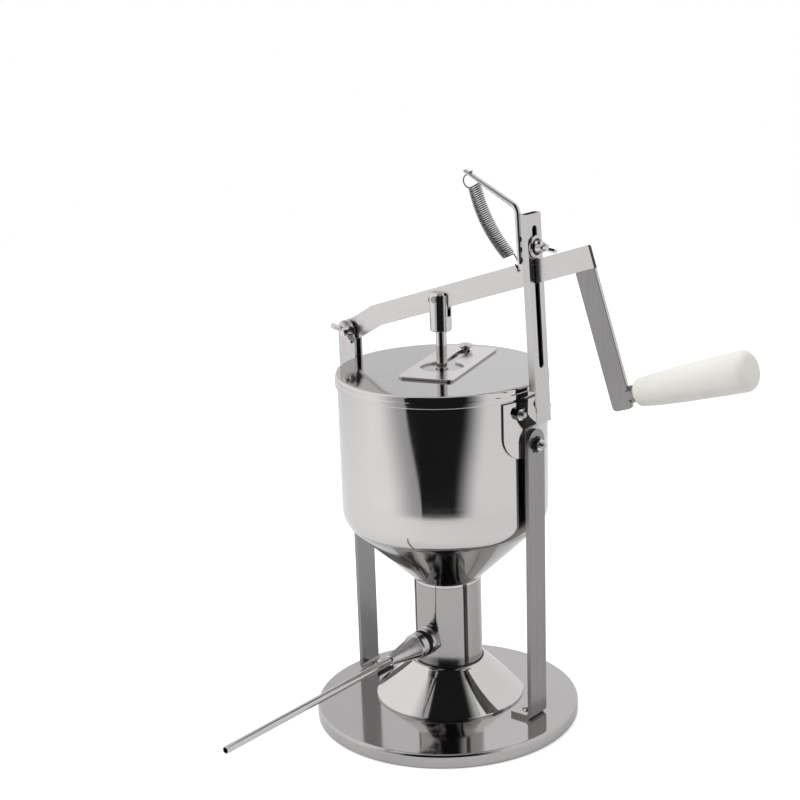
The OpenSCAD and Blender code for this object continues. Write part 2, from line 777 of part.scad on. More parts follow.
module leg_bolts() {
    color("white") at_leg_bolts() {
        translate([0, 0, head_seat_r]) mirror([0, 0, 1]) dome(head_r, head_h);
        translate([0, 0, head_seat_r]) cylinder(d = bolt_d, h = leg_out_x - head_seat_r + nut_h + bolt_tail);
    }
}

module leg_nuts() {
    color("white") at_leg_bolts() translate([0, 0, leg_out_x + stack_gap])
        hex_nut(nut_af, nut_h, bolt_d + 2 * clevis_fit);
}

module guide_post() {
    top_x = web_x(post_z1);
    jog_x = web_x(post_jog_z1);
    jog_out = jog_x - strip_x - post_t;
    jog_lift = post_t * (norm([jog_out, post_jog_h]) - post_jog_h) / jog_out;
    in_z = [post_z0 - 1, post_z1 + 1];
    color("silver") difference() {
        y_bar(post_w) polygon([[strip_x, strip_foot_z], [strip_x + post_t, strip_foot_z],
            [strip_x + post_t, post_jog_z0], [jog_x, post_jog_z1], [top_x, post_z1],
            [top_x - post_depth, post_z1], [web_x(post_z0) - post_depth, post_z0],
            [web_x(post_z0) - post_t, post_z0], [jog_x - post_t, post_jog_z1 + jog_lift],
            [strip_x, post_jog_z0 + jog_lift]]);
        y_bar(post_w - 2 * post_t) polygon([
            [web_x(in_z[0]) - post_depth + post_back_t, in_z[0]], [web_x(in_z[0]) - post_t, in_z[0]],
            [web_x(in_z[1]) - post_t, in_z[1]], [web_x(in_z[1]) - post_depth + post_back_t, in_z[1]]]);
        x_hole(strip_x - 1, post_t + 2, leg_bolt_z, hole_d);
        x_slab(top_x - post_depth - 1, post_depth + jog_x - top_x + 2) {
            translate([-post_slot_w / 2, post_slot_z0 + post_slot_w / 2])
                square([post_slot_w, post_slot_z1 - post_slot_z0 - post_slot_w]);
            translate([0, post_slot_z0 + post_slot_w / 2]) circle(d = post_slot_w);
            translate([0, post_slot_z1 - post_slot_w / 2]) circle(d = post_slot_w);
        }
    }
}

module pivot_bracket() {
    x1 = bracket_x + bracket_depth;
    z1 = pivot_z + bracket_crown;
    low_z = bracket_z0;
    r = bracket_corner_r;
    y = (bracket_gap + bracket_t) / 2;
    color("silver") difference() {
        mirror([1, 0, 0]) union() {
            y_bar(bracket_strip_w) polygon([[strip_x, strip_foot_z], [strip_x + post_t, strip_foot_z],
                [strip_x + post_t, bracket_bend_z], [x1, low_z], [x1 - bracket_t, low_z + bracket_t],
                [strip_x, bracket_bend_z]]);
            y_bar(bracket_w) translate([x1 - bracket_t, low_z]) square([bracket_t, z1 - r - low_z]);
            for (side = [-1, 1]) translate([0, side * y, 0]) y_bar(bracket_t) {
                difference() {
                    translate([bracket_x, low_z]) square([bracket_depth, z1 - r - low_z]);
                    translate([bracket_x, low_z]) circle(r = bracket_notch_r);
                }
                translate([bracket_x + r, z1 - r]) square([bracket_depth - 2 * r, r]);
                translate([bracket_x + r, z1 - r]) circle(r = r);
                translate([x1 - r, z1 - r]) circle(r = r);
            }
        }
        mirror([1, 0, 0]) x_hole(strip_x - 1, post_t + 2, leg_bolt_z, hole_d);
        y_hole([pivot_x, 0, pivot_z], bracket_w + 2, hole_d);
    }
}

module pivot_bolt() {
    half = bracket_w / 2 + stack_gap;
    color("white") translate([pivot_x, 0, pivot_z]) rotate([90, 0, 0]) {
        translate([0, 0, -half]) cylinder(d = bolt_d, h = 2 * half + wing_hub_h + bolt_tail);
        translate([0, 0, -half]) mirror([0, 0, 1]) cylinder(d = nut_af / cos(30), h = hex_head_h, $fn = 6);
    }
}

module spring_hanger() {
    path = concat([[0, 0, 0]], [for (i = [0 : 8]) let (t = hanger_turn * i / 8)
        [-hanger_bend_r * (1 - cos(t)), 0, hanger_rise + hanger_bend_r * sin(t)]],
        [[hang_end[0] - hanger_run * sin(hanger_turn), 0, hang_end[1] + hanger_run * cos(hanger_turn)]]);
    color("silver") difference() {
        on_post(hang_z) translate([-hang_off, hang_y, 0]) wire(path, hanger_d, 18, [0, 1, 0]);
        translate(spring_top) rotate([0, atan2(spring_c[0], spring_c[2]), 0])
            cylinder(d = hanger_hole_d, h = 3 * hanger_d, center = true);
    }
}

module outlet_boss() {
    color("gainsboro") difference() {
        along_nozzle() {
            cylinder(d = boss_d, h = tube_r + boss_len);
            cylinder(d = spigot_d, h = spigot_y);
        }
        along_nozzle() cylinder(d = outlet_bore_d, h = spigot_y + 1);
        translate([0, 0, outlet_z - boss_d]) cylinder(r = tube_r + stack_gap, h = 2 * boss_d);
    }
}

module outlet_seal() {
    color("black") along_nozzle() difference() {
        translate([0, 0, seal_y]) cylinder(d = outlet_seal_d, h = outlet_seal_t);
        translate([0, 0, seal_y - 1]) cylinder(d = spigot_d + 2 * spout_fit, h = outlet_seal_t + 2);
    }
}

module nozzle_cone() {
    plug_y = spigot_y + stack_gap;
    c = collar_chamfer;
    hole_r = spout_plug_d / 2 + spout_fit;
    color("gainsboro") along_nozzle() rotate_extrude() polygon([[spigot_d / 2 + spout_fit, collar_y],
        [collar_d / 2 - c, collar_y], [collar_d / 2, collar_y + c], [collar_d / 2, cone_y - c],
        [collar_d / 2 - c, cone_y], [cone_d / 2, cone_y], [cone_tip_d / 2, cone_end_y],
        [hole_r, cone_end_y], [hole_r, spout_y], [spout_bore_d / 2, spout_y],
        [outlet_bore_d / 2, plug_y], [spigot_d / 2 + spout_fit, plug_y]]);
}

module nozzle_tube() {
    step_y = cone_end_y + spout_seat;
    end_y = cone_end_y + spout_len;
    color("gainsboro") along_nozzle() difference() {
        union() {
            translate([0, 0, spout_y + stack_gap]) cylinder(d = spout_plug_d, h = spout_grip + 1);
            translate([0, 0, step_y]) cylinder(d = spout_d, h = end_y - step_y);
        }
        translate([0, 0, spout_y - 1]) cylinder(d = spout_bore_d, h = spout_grip + spout_len + 2);
    }
}

// Lever

module lever_bar() {
    h = lever_h / 2;
    kink = [-kink_s, 0];
    pivot = [pivot_s, pivot_t];
    miter = h / cos(kink_deg / 2) * [-sin(kink_deg / 2), cos(kink_deg / 2)];
    n = h * [-sin(kink_deg), cos(kink_deg)];
    color("silver") in_lever() difference() {
        union() {
            y_bar(lever_t) polygon([kink + miter, [lever_reach, h], [lever_reach, -h], kink - miter,
                pivot - n, pivot + n]);
            y_bar(lever_t) translate(pivot) rotate(180 + kink_deg) circle(r = h);
        }
        y_bar(lever_t + 2) translate(pivot) circle(d = bolt_d + 2 * pivot_fit);
        y_bar(lever_t + 2) translate([spring_s, spring_t]) circle(d = spring_hole_d);
        y_bar(lever_t + 2) translate([0, pin_slot_offset]) {
            translate([-pin_run - pin_slot_end, -pin_slot_w / 2])
                square([pin_run + 2 * pin_slot_end, pin_slot_w]);
            for (s = [-pin_run - pin_slot_end, pin_slot_end]) translate([s, 0]) circle(d = pin_slot_w);
        }
    }
}

module lever_arm() {
    color("darkgray") in_lever() y_bar(lever_t)
        translate([lever_reach - arm_w, arm_z0]) square([arm_w, arm_len]);
}

module grip_spindle() {
    color("silver") along_grip(lever_reach) cylinder(d = spindle_d, h = grip_nut_h + spindle_len);
}

module grip_nut() {
    color("silver") along_grip(lever_reach + stack_gap)
        hex_nut(grip_nut_af, grip_nut_h, spindle_d + 2 * clevis_fit);
}

module grip() {
    r0 = grip_d_in / 2;
    r1 = grip_d_out / 2;
    e = grip_edge_r;
    nose = grip_nose_r;
    bore = spindle_d / 2 + grip_fit;
    color("ivory") along_grip(grip_s) rotate_extrude() difference() {
        union() {
            polygon([[0, 0], [r0 - e, 0], [r0, e], [r1, grip_len - nose], [r1 - nose, grip_len],
                [0, grip_len]]);
            translate([r0 - e, e]) circle(r = e);
            translate([r1 - nose, grip_len - nose]) circle(r = nose);
        }
        translate([-1, -1]) square([bore + 1, spindle_len + 2]);
        translate([-r1 - 1, -1]) square([r1 + 1, grip_len + 2]);
    }
}

// Return spring: one wire along its path, in the spring's own directions a, b and c

function spring_at(turn) = let (s = turn / spring_turns)
    [hook_len + spring_body * s, spring_r * cos(360 * turn),
        hook_bend_r + spring_r * sin(360 * turn) + spring_bow * (1 - pow(2 * s - 1, 2))];
hook_turn = [for (i = [0 : 5]) 90 * i / 6];
hook_low = concat([for (i = [0 : 2]) [hook_len - hook_tip - i * 1.6, -spring_r, 0]],
    [for (i = [0 : 12]) let (t = -90 + 15 * i)
        [spring_r * (1 - cos(t)) - hook_shift, spring_r * sin(t), 0]],
    [for (t = hook_turn) [hook_len - hook_bend_r * (1 - sin(t)), spring_r, hook_bend_r * (1 - cos(t))]]);
loop_start = [hook_len + spring_body, 0, hook_bend_r + spring_r];
loop_way = [cos(loop_deg), 0, sin(loop_deg)];
loop_from = loop_start + hook_bend_r * (loop_way - [0, 1, 0]);
loop_mid = loop_from + loop_r * [sin(loop_deg), 0, -cos(loop_deg)];
loop_end = concat(
    [for (t = hook_turn) if (t > 0) loop_start + hook_bend_r * ((1 - cos(t)) * loop_way - [0, sin(t), 0])],
    [for (i = [0 : 13]) let (t = loop_deg - 10 * i) loop_mid + loop_r * [-sin(t), 0, cos(t)]],
    [for (i = [1 : 4]) loop_mid + [loop_r, 0, -i * 2]]);
spring_local = concat(hook_low,
    [for (i = [0 : spring_turns * rings_per_curl]) spring_at(i / rings_per_curl)], loop_end);
spring_path = [for (p = spring_local) spring_low + p[0] * spring_a + p[1] * spring_b + p[2] * spring_c];
spring_last = len(spring_path) - 1;
spring_gap = min([for (i = [0 : spring_last - 5], j = [i + 5 : spring_last])
    norm(spring_path[i] - spring_path[j])]) - wire_d;
echo(least_gap_between_curls = spring_gap);

module return_spring() color("dimgray") wire(spring_path, wire_d, wire_sides, spring_c);

// Piston and rod

module piston_rod() {
    color("gainsboro") {
        translate([0, 0, piston_z1 + stack_gap]) cylinder(d = rod_d, h = rod_z1 - piston_z1 - stack_gap);
        translate([0, 0, piston_nut_z0 - tail_out])
            cylinder(d = tail_d, h = piston_z1 - piston_nut_z0 + tail_out + 1);
    }
}

module rod_clevis() {
    r = clevis_d / 2;
    c = clevis_chamfer;
    z1 = pin_z + clevis_up;
    slot_z = pin_z - clevis_slot_depth;
    slot = lever_t + 2 * clevis_side_gap;
    color("silver") difference() {
        rotate_extrude() polygon([[0, clevis_z0], [r - c / 2, clevis_z0], [r, clevis_z0 + c / 2],
            [r, z1 - c], [r - c, z1], [0, z1]]);
        translate([-r - 1, -slot / 2, slot_z]) cube([2 * r + 2, slot, z1 - slot_z + 1]);
        translate([0, 0, clevis_z0 - 1])
            cylinder(d = rod_d + 2 * clevis_fit, h = rod_grip + rod_end_gap + 1);
        y_hole([0, 0, pin_z], clevis_d + 2, pin_d + 2 * clevis_fit);
    }
}

module clevis_pin() {
    color("white") y_hole([0, 0, pin_z], clevis_d + 2 * pin_out, pin_d);
}

module piston_head() {
    r = tube_ri - piston_gap;
    z = piston_z0 + (piston_t - seal_h) / 2;
    c = piston_chamfer;
    color("silver") difference() {
        rotate_extrude() polygon([[tail_d / 2 + clevis_fit, piston_z0], [r - c, piston_z0],
            [r, piston_z0 + c], [r, z], [groove_r, z], [groove_r, z + seal_h], [r, z + seal_h],
            [r, piston_z1 - c], [r - c, piston_z1], [tail_d / 2 + clevis_fit, piston_z1]]);
        for (i = [0 : 5]) rotate([0, 0, 60 * i]) translate([flow_r, 0, piston_z0 - 1])
            cylinder(d = flow_d, h = piston_t + 2);
    }
}

module piston_seal() {
    z = piston_z0 + (piston_t - seal_h) / 2;
    color("black") translate([0, 0, z + stack_gap]) difference() {
        cylinder(r = tube_ri - seal_gap, h = seal_h - 2 * stack_gap);
        translate([0, 0, -1]) cylinder(r = groove_r + stack_gap, h = seal_h + 2);
    }
}

module valve_flap() {
    color("dimgray") translate([0, 0, flap_z0]) difference() {
        cylinder(r = flow_r + flow_d / 2 + flap_lap, h = flap_t);
        translate([0, 0, -1]) cylinder(d = tail_d + 2 * clevis_fit, h = flap_t + 2);
    }
}

module valve_washer() {
    color("white") translate([0, 0, valve_washer_z0]) difference() {
        cylinder(d = valve_washer_d, h = valve_washer_t);
        translate([0, 0, -1]) cylinder(d = tail_d + 2 * clevis_fit, h = valve_washer_t + 2);
    }
}

module piston_nut() {
    color("white") translate([0, 0, piston_nut_z0])
        hex_nut(piston_nut_af, piston_nut_h, tail_d + 2 * clevis_fit);
}

// Dose stop and wing nuts

module stop_screw() {
    head_x = -post_t - stop_fit;
    tail_x = stop_x + stack_gap + wing_hub_h + bolt_tail;
    color("white") on_post(stop_z) {
        x_hole(head_x, tail_x - head_x, 0, bolt_d);
        translate([head_x - stop_head_h, 0, 0]) rotate([0, 90, 0])
            cylinder(d = nut_af / cos(30), h = stop_head_h, $fn = 6);
    }
}

module stop_washer() {
    color("silver") on_post(stop_z) difference() {
        x_hole(stop_fit, stop_washer_t, 0, stop_washer_d);
        x_hole(stop_fit - 1, stop_washer_t + 2, 0, bolt_d + 2 * clevis_fit);
    }
}

module stop_wing_nut() {
    color("white") on_post(stop_z) translate([stop_x + stop_fit, 0, 0])
        rotate([stop_wing_turn, 0, 0]) rotate([0, 90, 0]) rotate([0, 0, 90]) wing_nut();
}

module pivot_wing_nut() {
    color("white") translate([pivot_x, -bracket_w / 2 - stop_fit, pivot_z])
        rotate([0, pivot_wing_turn, 0]) rotate([90, 0, 0]) wing_nut();
}

// Lid

module lid() {
    e = lid_edge_r;
    ri = lid_r - lid_t;
    color("silver") rotate_extrude() polygon(concat([[lid_hole_d / 2, lid_z - lid_t]],
        [[lid_hole_d / 2, lid_z]], arc([lid_r - e, lid_z - e], e, 90, 0, 6),
        [[lid_r, lid_z - lid_skirt], [ri, lid_z - lid_skirt]],
        arc([lid_r - e, lid_z - e], e - lid_t, 0, 90, 4)));
}

module at_knob() rotate([0, 0, cover_turn]) translate([0, knob_reach, 0]) children();

module lid_knob() {
    r = knob_d / 2;
    z = cover_lift + cover_t + knob_gap;
    rim = knob_h - knob_dome;
    color("white") at_knob() translate([0, 0, lid_z]) {
        cylinder(d = knob_shank_d, h = z + knob_rim);
        translate([0, 0, z]) cylinder(r1 = knob_shank_d / 2 + knob_neck, r2 = r, h = rim - knob_rim - z);
        translate([0, 0, rim - knob_rim]) cylinder(r = r, h = knob_rim);
        translate([0, 0, rim]) dome(r, knob_h - rim);
    }
}

module cover_plate() {
    w = cover_w / 2;
    r = cover_corner_r;
    slot_end = knob_reach + knob_shank_d / 2 + cover_end_gap - cover_slot_w / 2;
    color("lightgray") rotate([0, 0, cover_turn]) translate([0, 0, cover_z]) linear_extrude(cover_t)
    difference() {
        union() {
            translate([-w, -cover_front + r]) square([cover_w, cover_front + cover_back - 2 * r]);
            translate([-w + r, -cover_front]) square([cover_w - 2 * r, cover_front + cover_back]);
            for (x = [r - w, w - r], y = [r - cover_front, cover_back - r]) translate([x, y]) circle(r = r);
        }
        circle(d = cover_hole_d);
        translate([-cover_slot_w / 2, 0]) square([cover_slot_w, slot_end]);
        translate([0, slot_end]) circle(d = cover_slot_w);
    }
}

base_plate();
pedestal();
pump_cylinder();
cylinder_floor();
hopper();
left_leg();
right_leg();
foot_screws();
left_pad();
right_pad();
pad_bolts();
pad_nuts();
leg_bolts();
leg_nuts();
guide_post();
pivot_bracket();
pivot_bolt();
spring_hanger();
outlet_boss();
outlet_seal();
nozzle_cone();
nozzle_tube();
lever_bar();
lever_arm();
grip_spindle();
grip_nut();
grip();
return_spring();
piston_rod();
rod_clevis();
clevis_pin();
piston_head();
piston_seal();
valve_flap();
valve_washer();
piston_nut();
stop_screw();
stop_washer();
stop_wing_nut();
pivot_wing_nut();
lid();
lid_knob();
cover_plate();
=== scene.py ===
import math

import bmesh
import bpy
from mathutils import Matrix, Vector


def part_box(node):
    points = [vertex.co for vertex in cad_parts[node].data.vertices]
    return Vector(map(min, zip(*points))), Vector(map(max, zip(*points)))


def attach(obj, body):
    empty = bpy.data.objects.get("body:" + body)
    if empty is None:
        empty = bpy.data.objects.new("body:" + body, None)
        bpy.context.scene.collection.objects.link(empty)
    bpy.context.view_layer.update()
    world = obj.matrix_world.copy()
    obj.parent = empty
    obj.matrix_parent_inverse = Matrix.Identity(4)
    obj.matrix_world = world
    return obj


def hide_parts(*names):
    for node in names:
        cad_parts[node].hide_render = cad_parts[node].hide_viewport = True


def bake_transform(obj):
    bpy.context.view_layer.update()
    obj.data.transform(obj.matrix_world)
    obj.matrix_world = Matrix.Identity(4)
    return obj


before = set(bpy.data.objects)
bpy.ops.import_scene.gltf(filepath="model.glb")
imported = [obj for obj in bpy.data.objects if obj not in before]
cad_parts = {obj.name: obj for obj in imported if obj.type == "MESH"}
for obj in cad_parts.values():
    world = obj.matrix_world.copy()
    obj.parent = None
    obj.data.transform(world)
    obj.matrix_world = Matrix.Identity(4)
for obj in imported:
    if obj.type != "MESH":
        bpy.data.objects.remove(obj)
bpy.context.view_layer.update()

# Lengths below are millimetres, in the frame of the CAD part; each piece turns them into metres once
MM = 0.001


def low_high(node):
    low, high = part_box(node)
    return low / MM, high / MM


# Sizes read from the frame
base_low, base_high = low_high("base_plate")
ped_high = low_high("pedestal")[1]
tube_low, tube_high = low_high("pump_cylinder")
hopper_high = low_high("hopper")[1]
lid_low, lid_high = low_high("lid")
pin_low, pin_high = low_high("clevis_pin")
rod_low, rod_high = low_high("piston_rod")
boss_low = low_high("outlet_boss")[0]
seal_low, seal_high = low_high("outlet_seal")
cone_low, cone_high = low_high("nozzle_cone")
spout_low, spout_high = low_high("nozzle_tube")
knob_low, knob_high = low_high("lid_knob")
post_high = low_high("guide_post")[1]
leg_high = low_high("right_leg")[1]
pad_screw_low, pad_screw_high = low_high("pad_bolts")
leg_screw_low, leg_screw_high = low_high("leg_bolts")

BASE_R = (base_high.x - base_low.x) / 2
BASE_CENTRE = (base_low + base_high) / 2
BASE_TOP = base_high.z
TUBE_R = tube_high.x
HOPPER_R = hopper_high.x
RIM_Z = hopper_high.z
LID_R = lid_high.x
LID_Z = lid_high.z
PIN_Z = (pin_low.z + pin_high.z) / 2
OUTLET_Z = (seal_low.z + seal_high.z) / 2
KNOB = (knob_low + knob_high) / 2
PAD_SCREW_Z = (pad_screw_low.z + pad_screw_high.z) / 2
LEG_SCREW_Z = (leg_screw_low.z + leg_screw_high.z) / 2

# Base, pedestal and pump tube
BASE_EDGE = 3.0
PED_LIP = 2.0
PED_TOP_R = 37.5
PED_ROUND = 4.0
PED_WALL = 2.0
PED_GAP = 0.15
TUBE_WALL = 2.0

# Hopper, lid and knob
HOPPER_WALL = 1.6
HOPPER_NECK = 3.0
HOPPER_CONE = 61.4
HOPPER_BEND = 25.0
LID_T = 1.5
LID_EDGE = 2.5
LID_HOLE_R = 6.0
LID_STEP = 0.5
LID_STEP_TOP = 5.4
LID_STEP_LOW = 6.0
LID_LIP = 0.6
KNOB_SHANK_R = 2.5
KNOB_SHANK_H = 3.2
KNOB_FOOT_R = 3.5

# Outlet: the union on the pump tube, the reducer over its spigot and the filling tube
SEAT_GAP = 0.05
OUTLET_BORE = 5.0
UNION_IN = 4.0
UNION_R = 13.5
UNION_RIM = 0.6
UNION_FLAT = 12.4
NECK_R = 12.9
NECK_THREAD_LOW = 1.0
NECK_THREAD_HIGH = 4.0
NECK_DEPTH = 1.1
SPIGOT_R = 8.0
SOCKET_R = 8.05
SOCKET_DEPTH = 4.0
COLLAR_LEN = 9.0
CONE_R = 11.0
CONE_TIP_R = 4.9
CONE_BORE = 3.3
CONE_BORE_LEN = 10.0
SPOUT_WALL = 1.0
SPOUT_STEP = 0.3

# Lever, grip and piston rod
LEVER_SLOPE = 18.25
LEVER_REACH = 171.2
LEVER_ROUND = 2.0
ARM_ROUND = 4.0
GRIP_T = -120.6
GRIP_NUT_H = 6.1
GRIP_GAP = 3.4
GRIP_LEN = 110.0
GRIP_NOSE = 8.0
GRIP_END_R = 17.4
GRIP_RING_R = 7.6
ROD_R = 5.0
ROD_END_R = 4.0
ROD_END_LEN = 22.2

# Legs, screws, nuts and washers
LEG_T = 4.0
LEG_BEND_OUT = 5.0
LEG_BEND_IN = 2.0
PAD_R = 98.45
PAD_SCREW_DEG = 10.4
SCREW_R = 3.0
SCREW_HEAD_R = 5.5
SCREW_SEAT = 94.6
NUT_H = 5.0
TAIL = 4.0
TEETH = 10
TOOTH_R = 8.0
TOOTH_ROOT = 6.2
TOOTH_HOLE_R = 4.0
STOP_HOLE_R = 3.2
STOP_WASHER_T = 1.2
# Radius of the painted shade under the stop's wing nut
STOP_SHADE_R = 7.3

# Post and hanger
POST_X = 111.3
POST_Z = LID_Z - 4.0
POST_LEAN = 3.0
POST_DEPTH = 7.0
POST_HALF_W = 10.5
HANGER_Z = post_high.z - 42.0
HANGER_Y = -9.75
HANGER_TURN = 60.0
HANGER_EYE = (-59.08, 76.79)
EYE_FLAT_FROM = 12.0
EYE_FLAT_LEN = 7.0
EYE_THIN = 0.38
EYE_WIDE = 0.3
WELD_R = 0.75
WELD_WAVE = 0.9

# Spring: its hole in the lever, its wire, and its hook, which is narrow enough for the post's slot
SPRING_S = 94.8
SPRING_T = 5.0
SPRING_R = 5.6
SPRING_BOW = 5.2
SPRING_LEAN = 1.9
WIRE_R = 0.65
CURLS = 38.25
CURL_STEPS = 20
HOOK = 15.5
HOOK_BEND = 1.5
HOOK_R = 2.75
HOOK_SHIFT = 0.43
HOOK_HOLD = 1.0
HOOK_TAIL = 6.0
HOOK_SHANK = 8.0
FLARE_STEPS = 8
LOOP_R = 6.0
LOOP_DEG = 40.0
LOOP_LEN = 11.006


class Link:
    """A shader socket that takes part in arithmetic: every operation adds one Math node."""

    def __init__(self, nodes, socket):
        self.nodes = nodes
        self.socket = socket

    def math(self, operation, *values):
        return self.nodes.add("ShaderNodeMath", {"operation": operation}, dict(enumerate(values)))

    def __add__(self, other):
        return self.math("ADD", self, other)

    def __radd__(self, other):
        return self.math("ADD", other, self)

    def __sub__(self, other):
        return self.math("SUBTRACT", self, other)

    def __rsub__(self, other):
        return self.math("SUBTRACT", other, self)

    def __mul__(self, other):
        return self.math("MULTIPLY", self, other)

    def __rmul__(self, other):
        return self.math("MULTIPLY", other, self)

    def smooth(self, low, high):
        """0 below low, 1 above high and a soft step between them."""
        limits = {"Value": self, "From Min": low, "From Max": high}
        return self.nodes.add("ShaderNodeMapRange", {"interpolation_type": "SMOOTHSTEP"}, limits)


class Nodes:
    """The node tree of one material or of the world."""

    def __init__(self, tree):
        self.tree = tree
        tree.nodes.clear()

    def add(self, kind, settings=None, inputs=None, output=0):
        node = self.tree.nodes.new(kind)
        for name, value in (settings or {}).items():
            setattr(node, name, value)
        for name, value in (inputs or {}).items():
            if isinstance(value, Link):
                self.tree.links.new(value.socket, node.inputs[name])
            else:
                node.inputs[name].default_value = value
        return Link(self, node.outputs[output]) if len(node.outputs) else node

    def place(self, scale):
        """Object coordinates, stretched."""
        coordinates = self.add("ShaderNodeTexCoord", output="Object")
        stretch = {"Vector": coordinates, "Scale": scale}
        return self.add("ShaderNodeMapping", None, stretch)

    def noise(self, scale, detail=3.0, rough=0.55):
        """Noise that is scale[i] cells per metre along each axis."""
        inputs = {"Vector": self.place(scale), "Scale": 1.0, "Detail": detail, "Roughness": rough}
        return self.add("ShaderNodeTexNoise", None, inputs, output="Fac")

    def mix(self, factor, a, b):
        inputs = {0: factor, 6: (*a, 1.0) if isinstance(a, tuple) else a}
        inputs[7] = (*b, 1.0) if isinstance(b, tuple) else b
        return self.add("ShaderNodeMix", {"data_type": "RGBA"}, inputs, output=2)

    def bump(self, height, strength, distance):
        inputs = {"Height": height, "Strength": strength, "Distance": distance}
        return self.add("ShaderNodeBump", None, inputs)

    def surface(self, **inputs):
        named = {name.replace("_", " "): value for name, value in inputs.items()}
        shader = self.add("ShaderNodeBsdfPrincipled", None, named)
        self.add("ShaderNodeOutputMaterial", None, {"Surface": shader})


def new_material(name):
    material = bpy.data.materials.new(name)
    material.use_nodes = True
    return material, Nodes(material.node_tree)


def steel(name, streaks, rough, spread, light, dark, groove=0.02):
    """Stainless steel whose polishing lines run across the axis with the most streaks per metre."""
    material, nodes = new_material(name)
    lines = nodes.noise(streaks, detail=4.0)
    hairs = nodes.noise(tuple(3.1 * s for s in streaks), detail=2.0)
    smudge = nodes.noise((11.0, 11.0, 9.0), detail=2.0)
    finger = smudge.smooth(0.55, 0.75)
    tone = 0.55 * lines + 0.45 * smudge
    nodes.surface(
        Base_Color=nodes.mix(tone.smooth(0.25, 0.75), dark, light),
        Metallic=1.0,
        Roughness=rough + spread * hairs.smooth(0.3, 0.8) + 0.5 * spread * finger,
        Normal=nodes.bump(lines, groove, 0.0004),
    )
    return material


def nylon():
    material, nodes = new_material("grip_nylon")
    cloud = nodes.noise((22.0, 22.0, 22.0), detail=3.0)
    grain = nodes.noise((900.0, 900.0, 900.0), detail=2.0)
    scuff = nodes.noise((60.0, 240.0, 240.0), detail=4.0).smooth(0.58, 0.72)
    nodes.surface(
        Base_Color=nodes.mix(cloud.smooth(0.3, 0.7), (0.72, 0.71, 0.67), (0.80, 0.79, 0.75)),
        Roughness=0.36 + 0.10 * cloud + 0.12 * scuff,
        Normal=nodes.bump(grain, 0.05, 0.0003),
    )
    return material


def rubber():
    material, nodes = new_material("black_rubber")
    grain = nodes.noise((1400.0, 1400.0, 1400.0), detail=2.0)
    dust = nodes.noise((90.0, 90.0, 90.0), detail=3.0)
    nodes.surface(
        Base_Color=nodes.mix(dust.smooth(0.4, 0.8), (0.005, 0.005, 0.006), (0.014, 0.013, 0.013)),
        Roughness=0.42 + 0.2 * dust,
        Specular_IOR_Level=0.2,
        Normal=nodes.bump(grain, 0.08, 0.0002),
    )
    return material


def grey(value):
    """A slightly warm grey."""
    return (value, value * 0.978, value * 0.97)


# Polishing lines per metre along each axis
ROUND = (3.0, 3.0, 1500.0)
FLAT = (500.0, 10.0, 10.0)
TURNED = (20.0, 1800.0, 20.0)
LONG = (1100.0, 1100.0, 6.0)
CROSS = (10.0, 900.0, 1100.0)
FINE = (260.0, 260.0, 260.0)
round_polish = steel("round_polished_steel", ROUND, 0.03, 0.05, grey(0.65), grey(0.61), 0.006)
tube_polish = steel("tube_polished_steel", ROUND, 0.06, 0.08, grey(0.44), grey(0.39), 0.010)
top_polish = steel("top_polished_steel", FLAT, 0.06, 0.05, grey(0.50), grey(0.47), 0.006)
leg_satin = steel("leg_brushed_steel", LONG, 0.22, 0.12, grey(0.33), grey(0.27), 0.03)
post_satin = steel("post_brushed_steel", LONG, 0.20, 0.12, grey(0.61), grey(0.54), 0.03)
lever_satin = steel("lever_brushed_steel", CROSS, 0.22, 0.10, grey(0.66), grey(0.62), 0.015)
cover_satin = steel("cover_brushed_steel", CROSS, 0.16, 0.10, grey(0.70), grey(0.66), 0.02)
bright_zinc = steel("bright_zinc", FINE, 0.08, 0.12, grey(0.72), grey(0.56), 0.02)
screw_zinc = steel("screw_zinc", FINE, 0.26, 0.12, grey(0.52), grey(0.38), 0.02)
nut_zinc = steel("nut_zinc", FINE, 0.10, 0.12, grey(0.34), grey(0.22), 0.02)
# Nut sides: a painted dark reflection
nut_side_painted_shade = steel("nut_side_painted_shade", FINE, 0.16, 0.12, grey(0.14), grey(0.07), 0.02)
turned_steel = steel("turned_steel", TURNED, 0.05, 0.08, grey(0.62), grey(0.54), 0.02)
nozzle_satin = steel("nozzle_satin_steel", TURNED, 0.20, 0.10, grey(0.60), grey(0.53), 0.02)
spring_steel = steel("spring_steel", FINE, 0.14, 0.15, grey(0.30), grey(0.15), 0.02)
# Near-black steel: the toothed washers, and painted shade and painted dark reflections in gaps, insides,
# bevels and end faces
dark_steel_and_painted_shade = steel("dark_steel_and_painted_shade", FINE, 0.38, 0.2, grey(0.08), grey(0.03), 0.04)
white_nylon = nylon()
black_rubber = rubber()


def finished(name, bm, body, materials, replaces=(), sharp=32.0):
    """Makes the mesh a piece of the object: it rides on its body, if any, and may stand for CAD nodes."""
    bmesh.ops.transform(bm, matrix=Matrix.Scale(MM, 4), verts=bm.verts)
    mesh = bpy.data.meshes.new(name)
    bm.to_mesh(mesh)
    bm.free()
    mesh.shade_smooth()
    mesh.set_sharp_from_angle(angle=math.radians(sharp))
    for material in materials if isinstance(materials, list) else [materials]:
        mesh.materials.append(material)
    piece = bpy.data.objects.new(name, mesh)
    bpy.context.scene.collection.objects.link(piece)
    if body:
        flats = piece.modifiers.new("flat_faces", "WEIGHTED_NORMAL")
        flats.keep_sharp = True
        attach(piece, body)
    if replaces:
        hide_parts(*replaces)
    return piece


def joined(*shells):
    """One bmesh that holds all the shells."""
    whole = bmesh.new()
    for shell in shells:
        mesh = bpy.data.meshes.new("shell")
        shell.to_mesh(mesh)
        shell.free()
        whole.from_mesh(mesh)
        bpy.data.meshes.remove(mesh)
    return whole


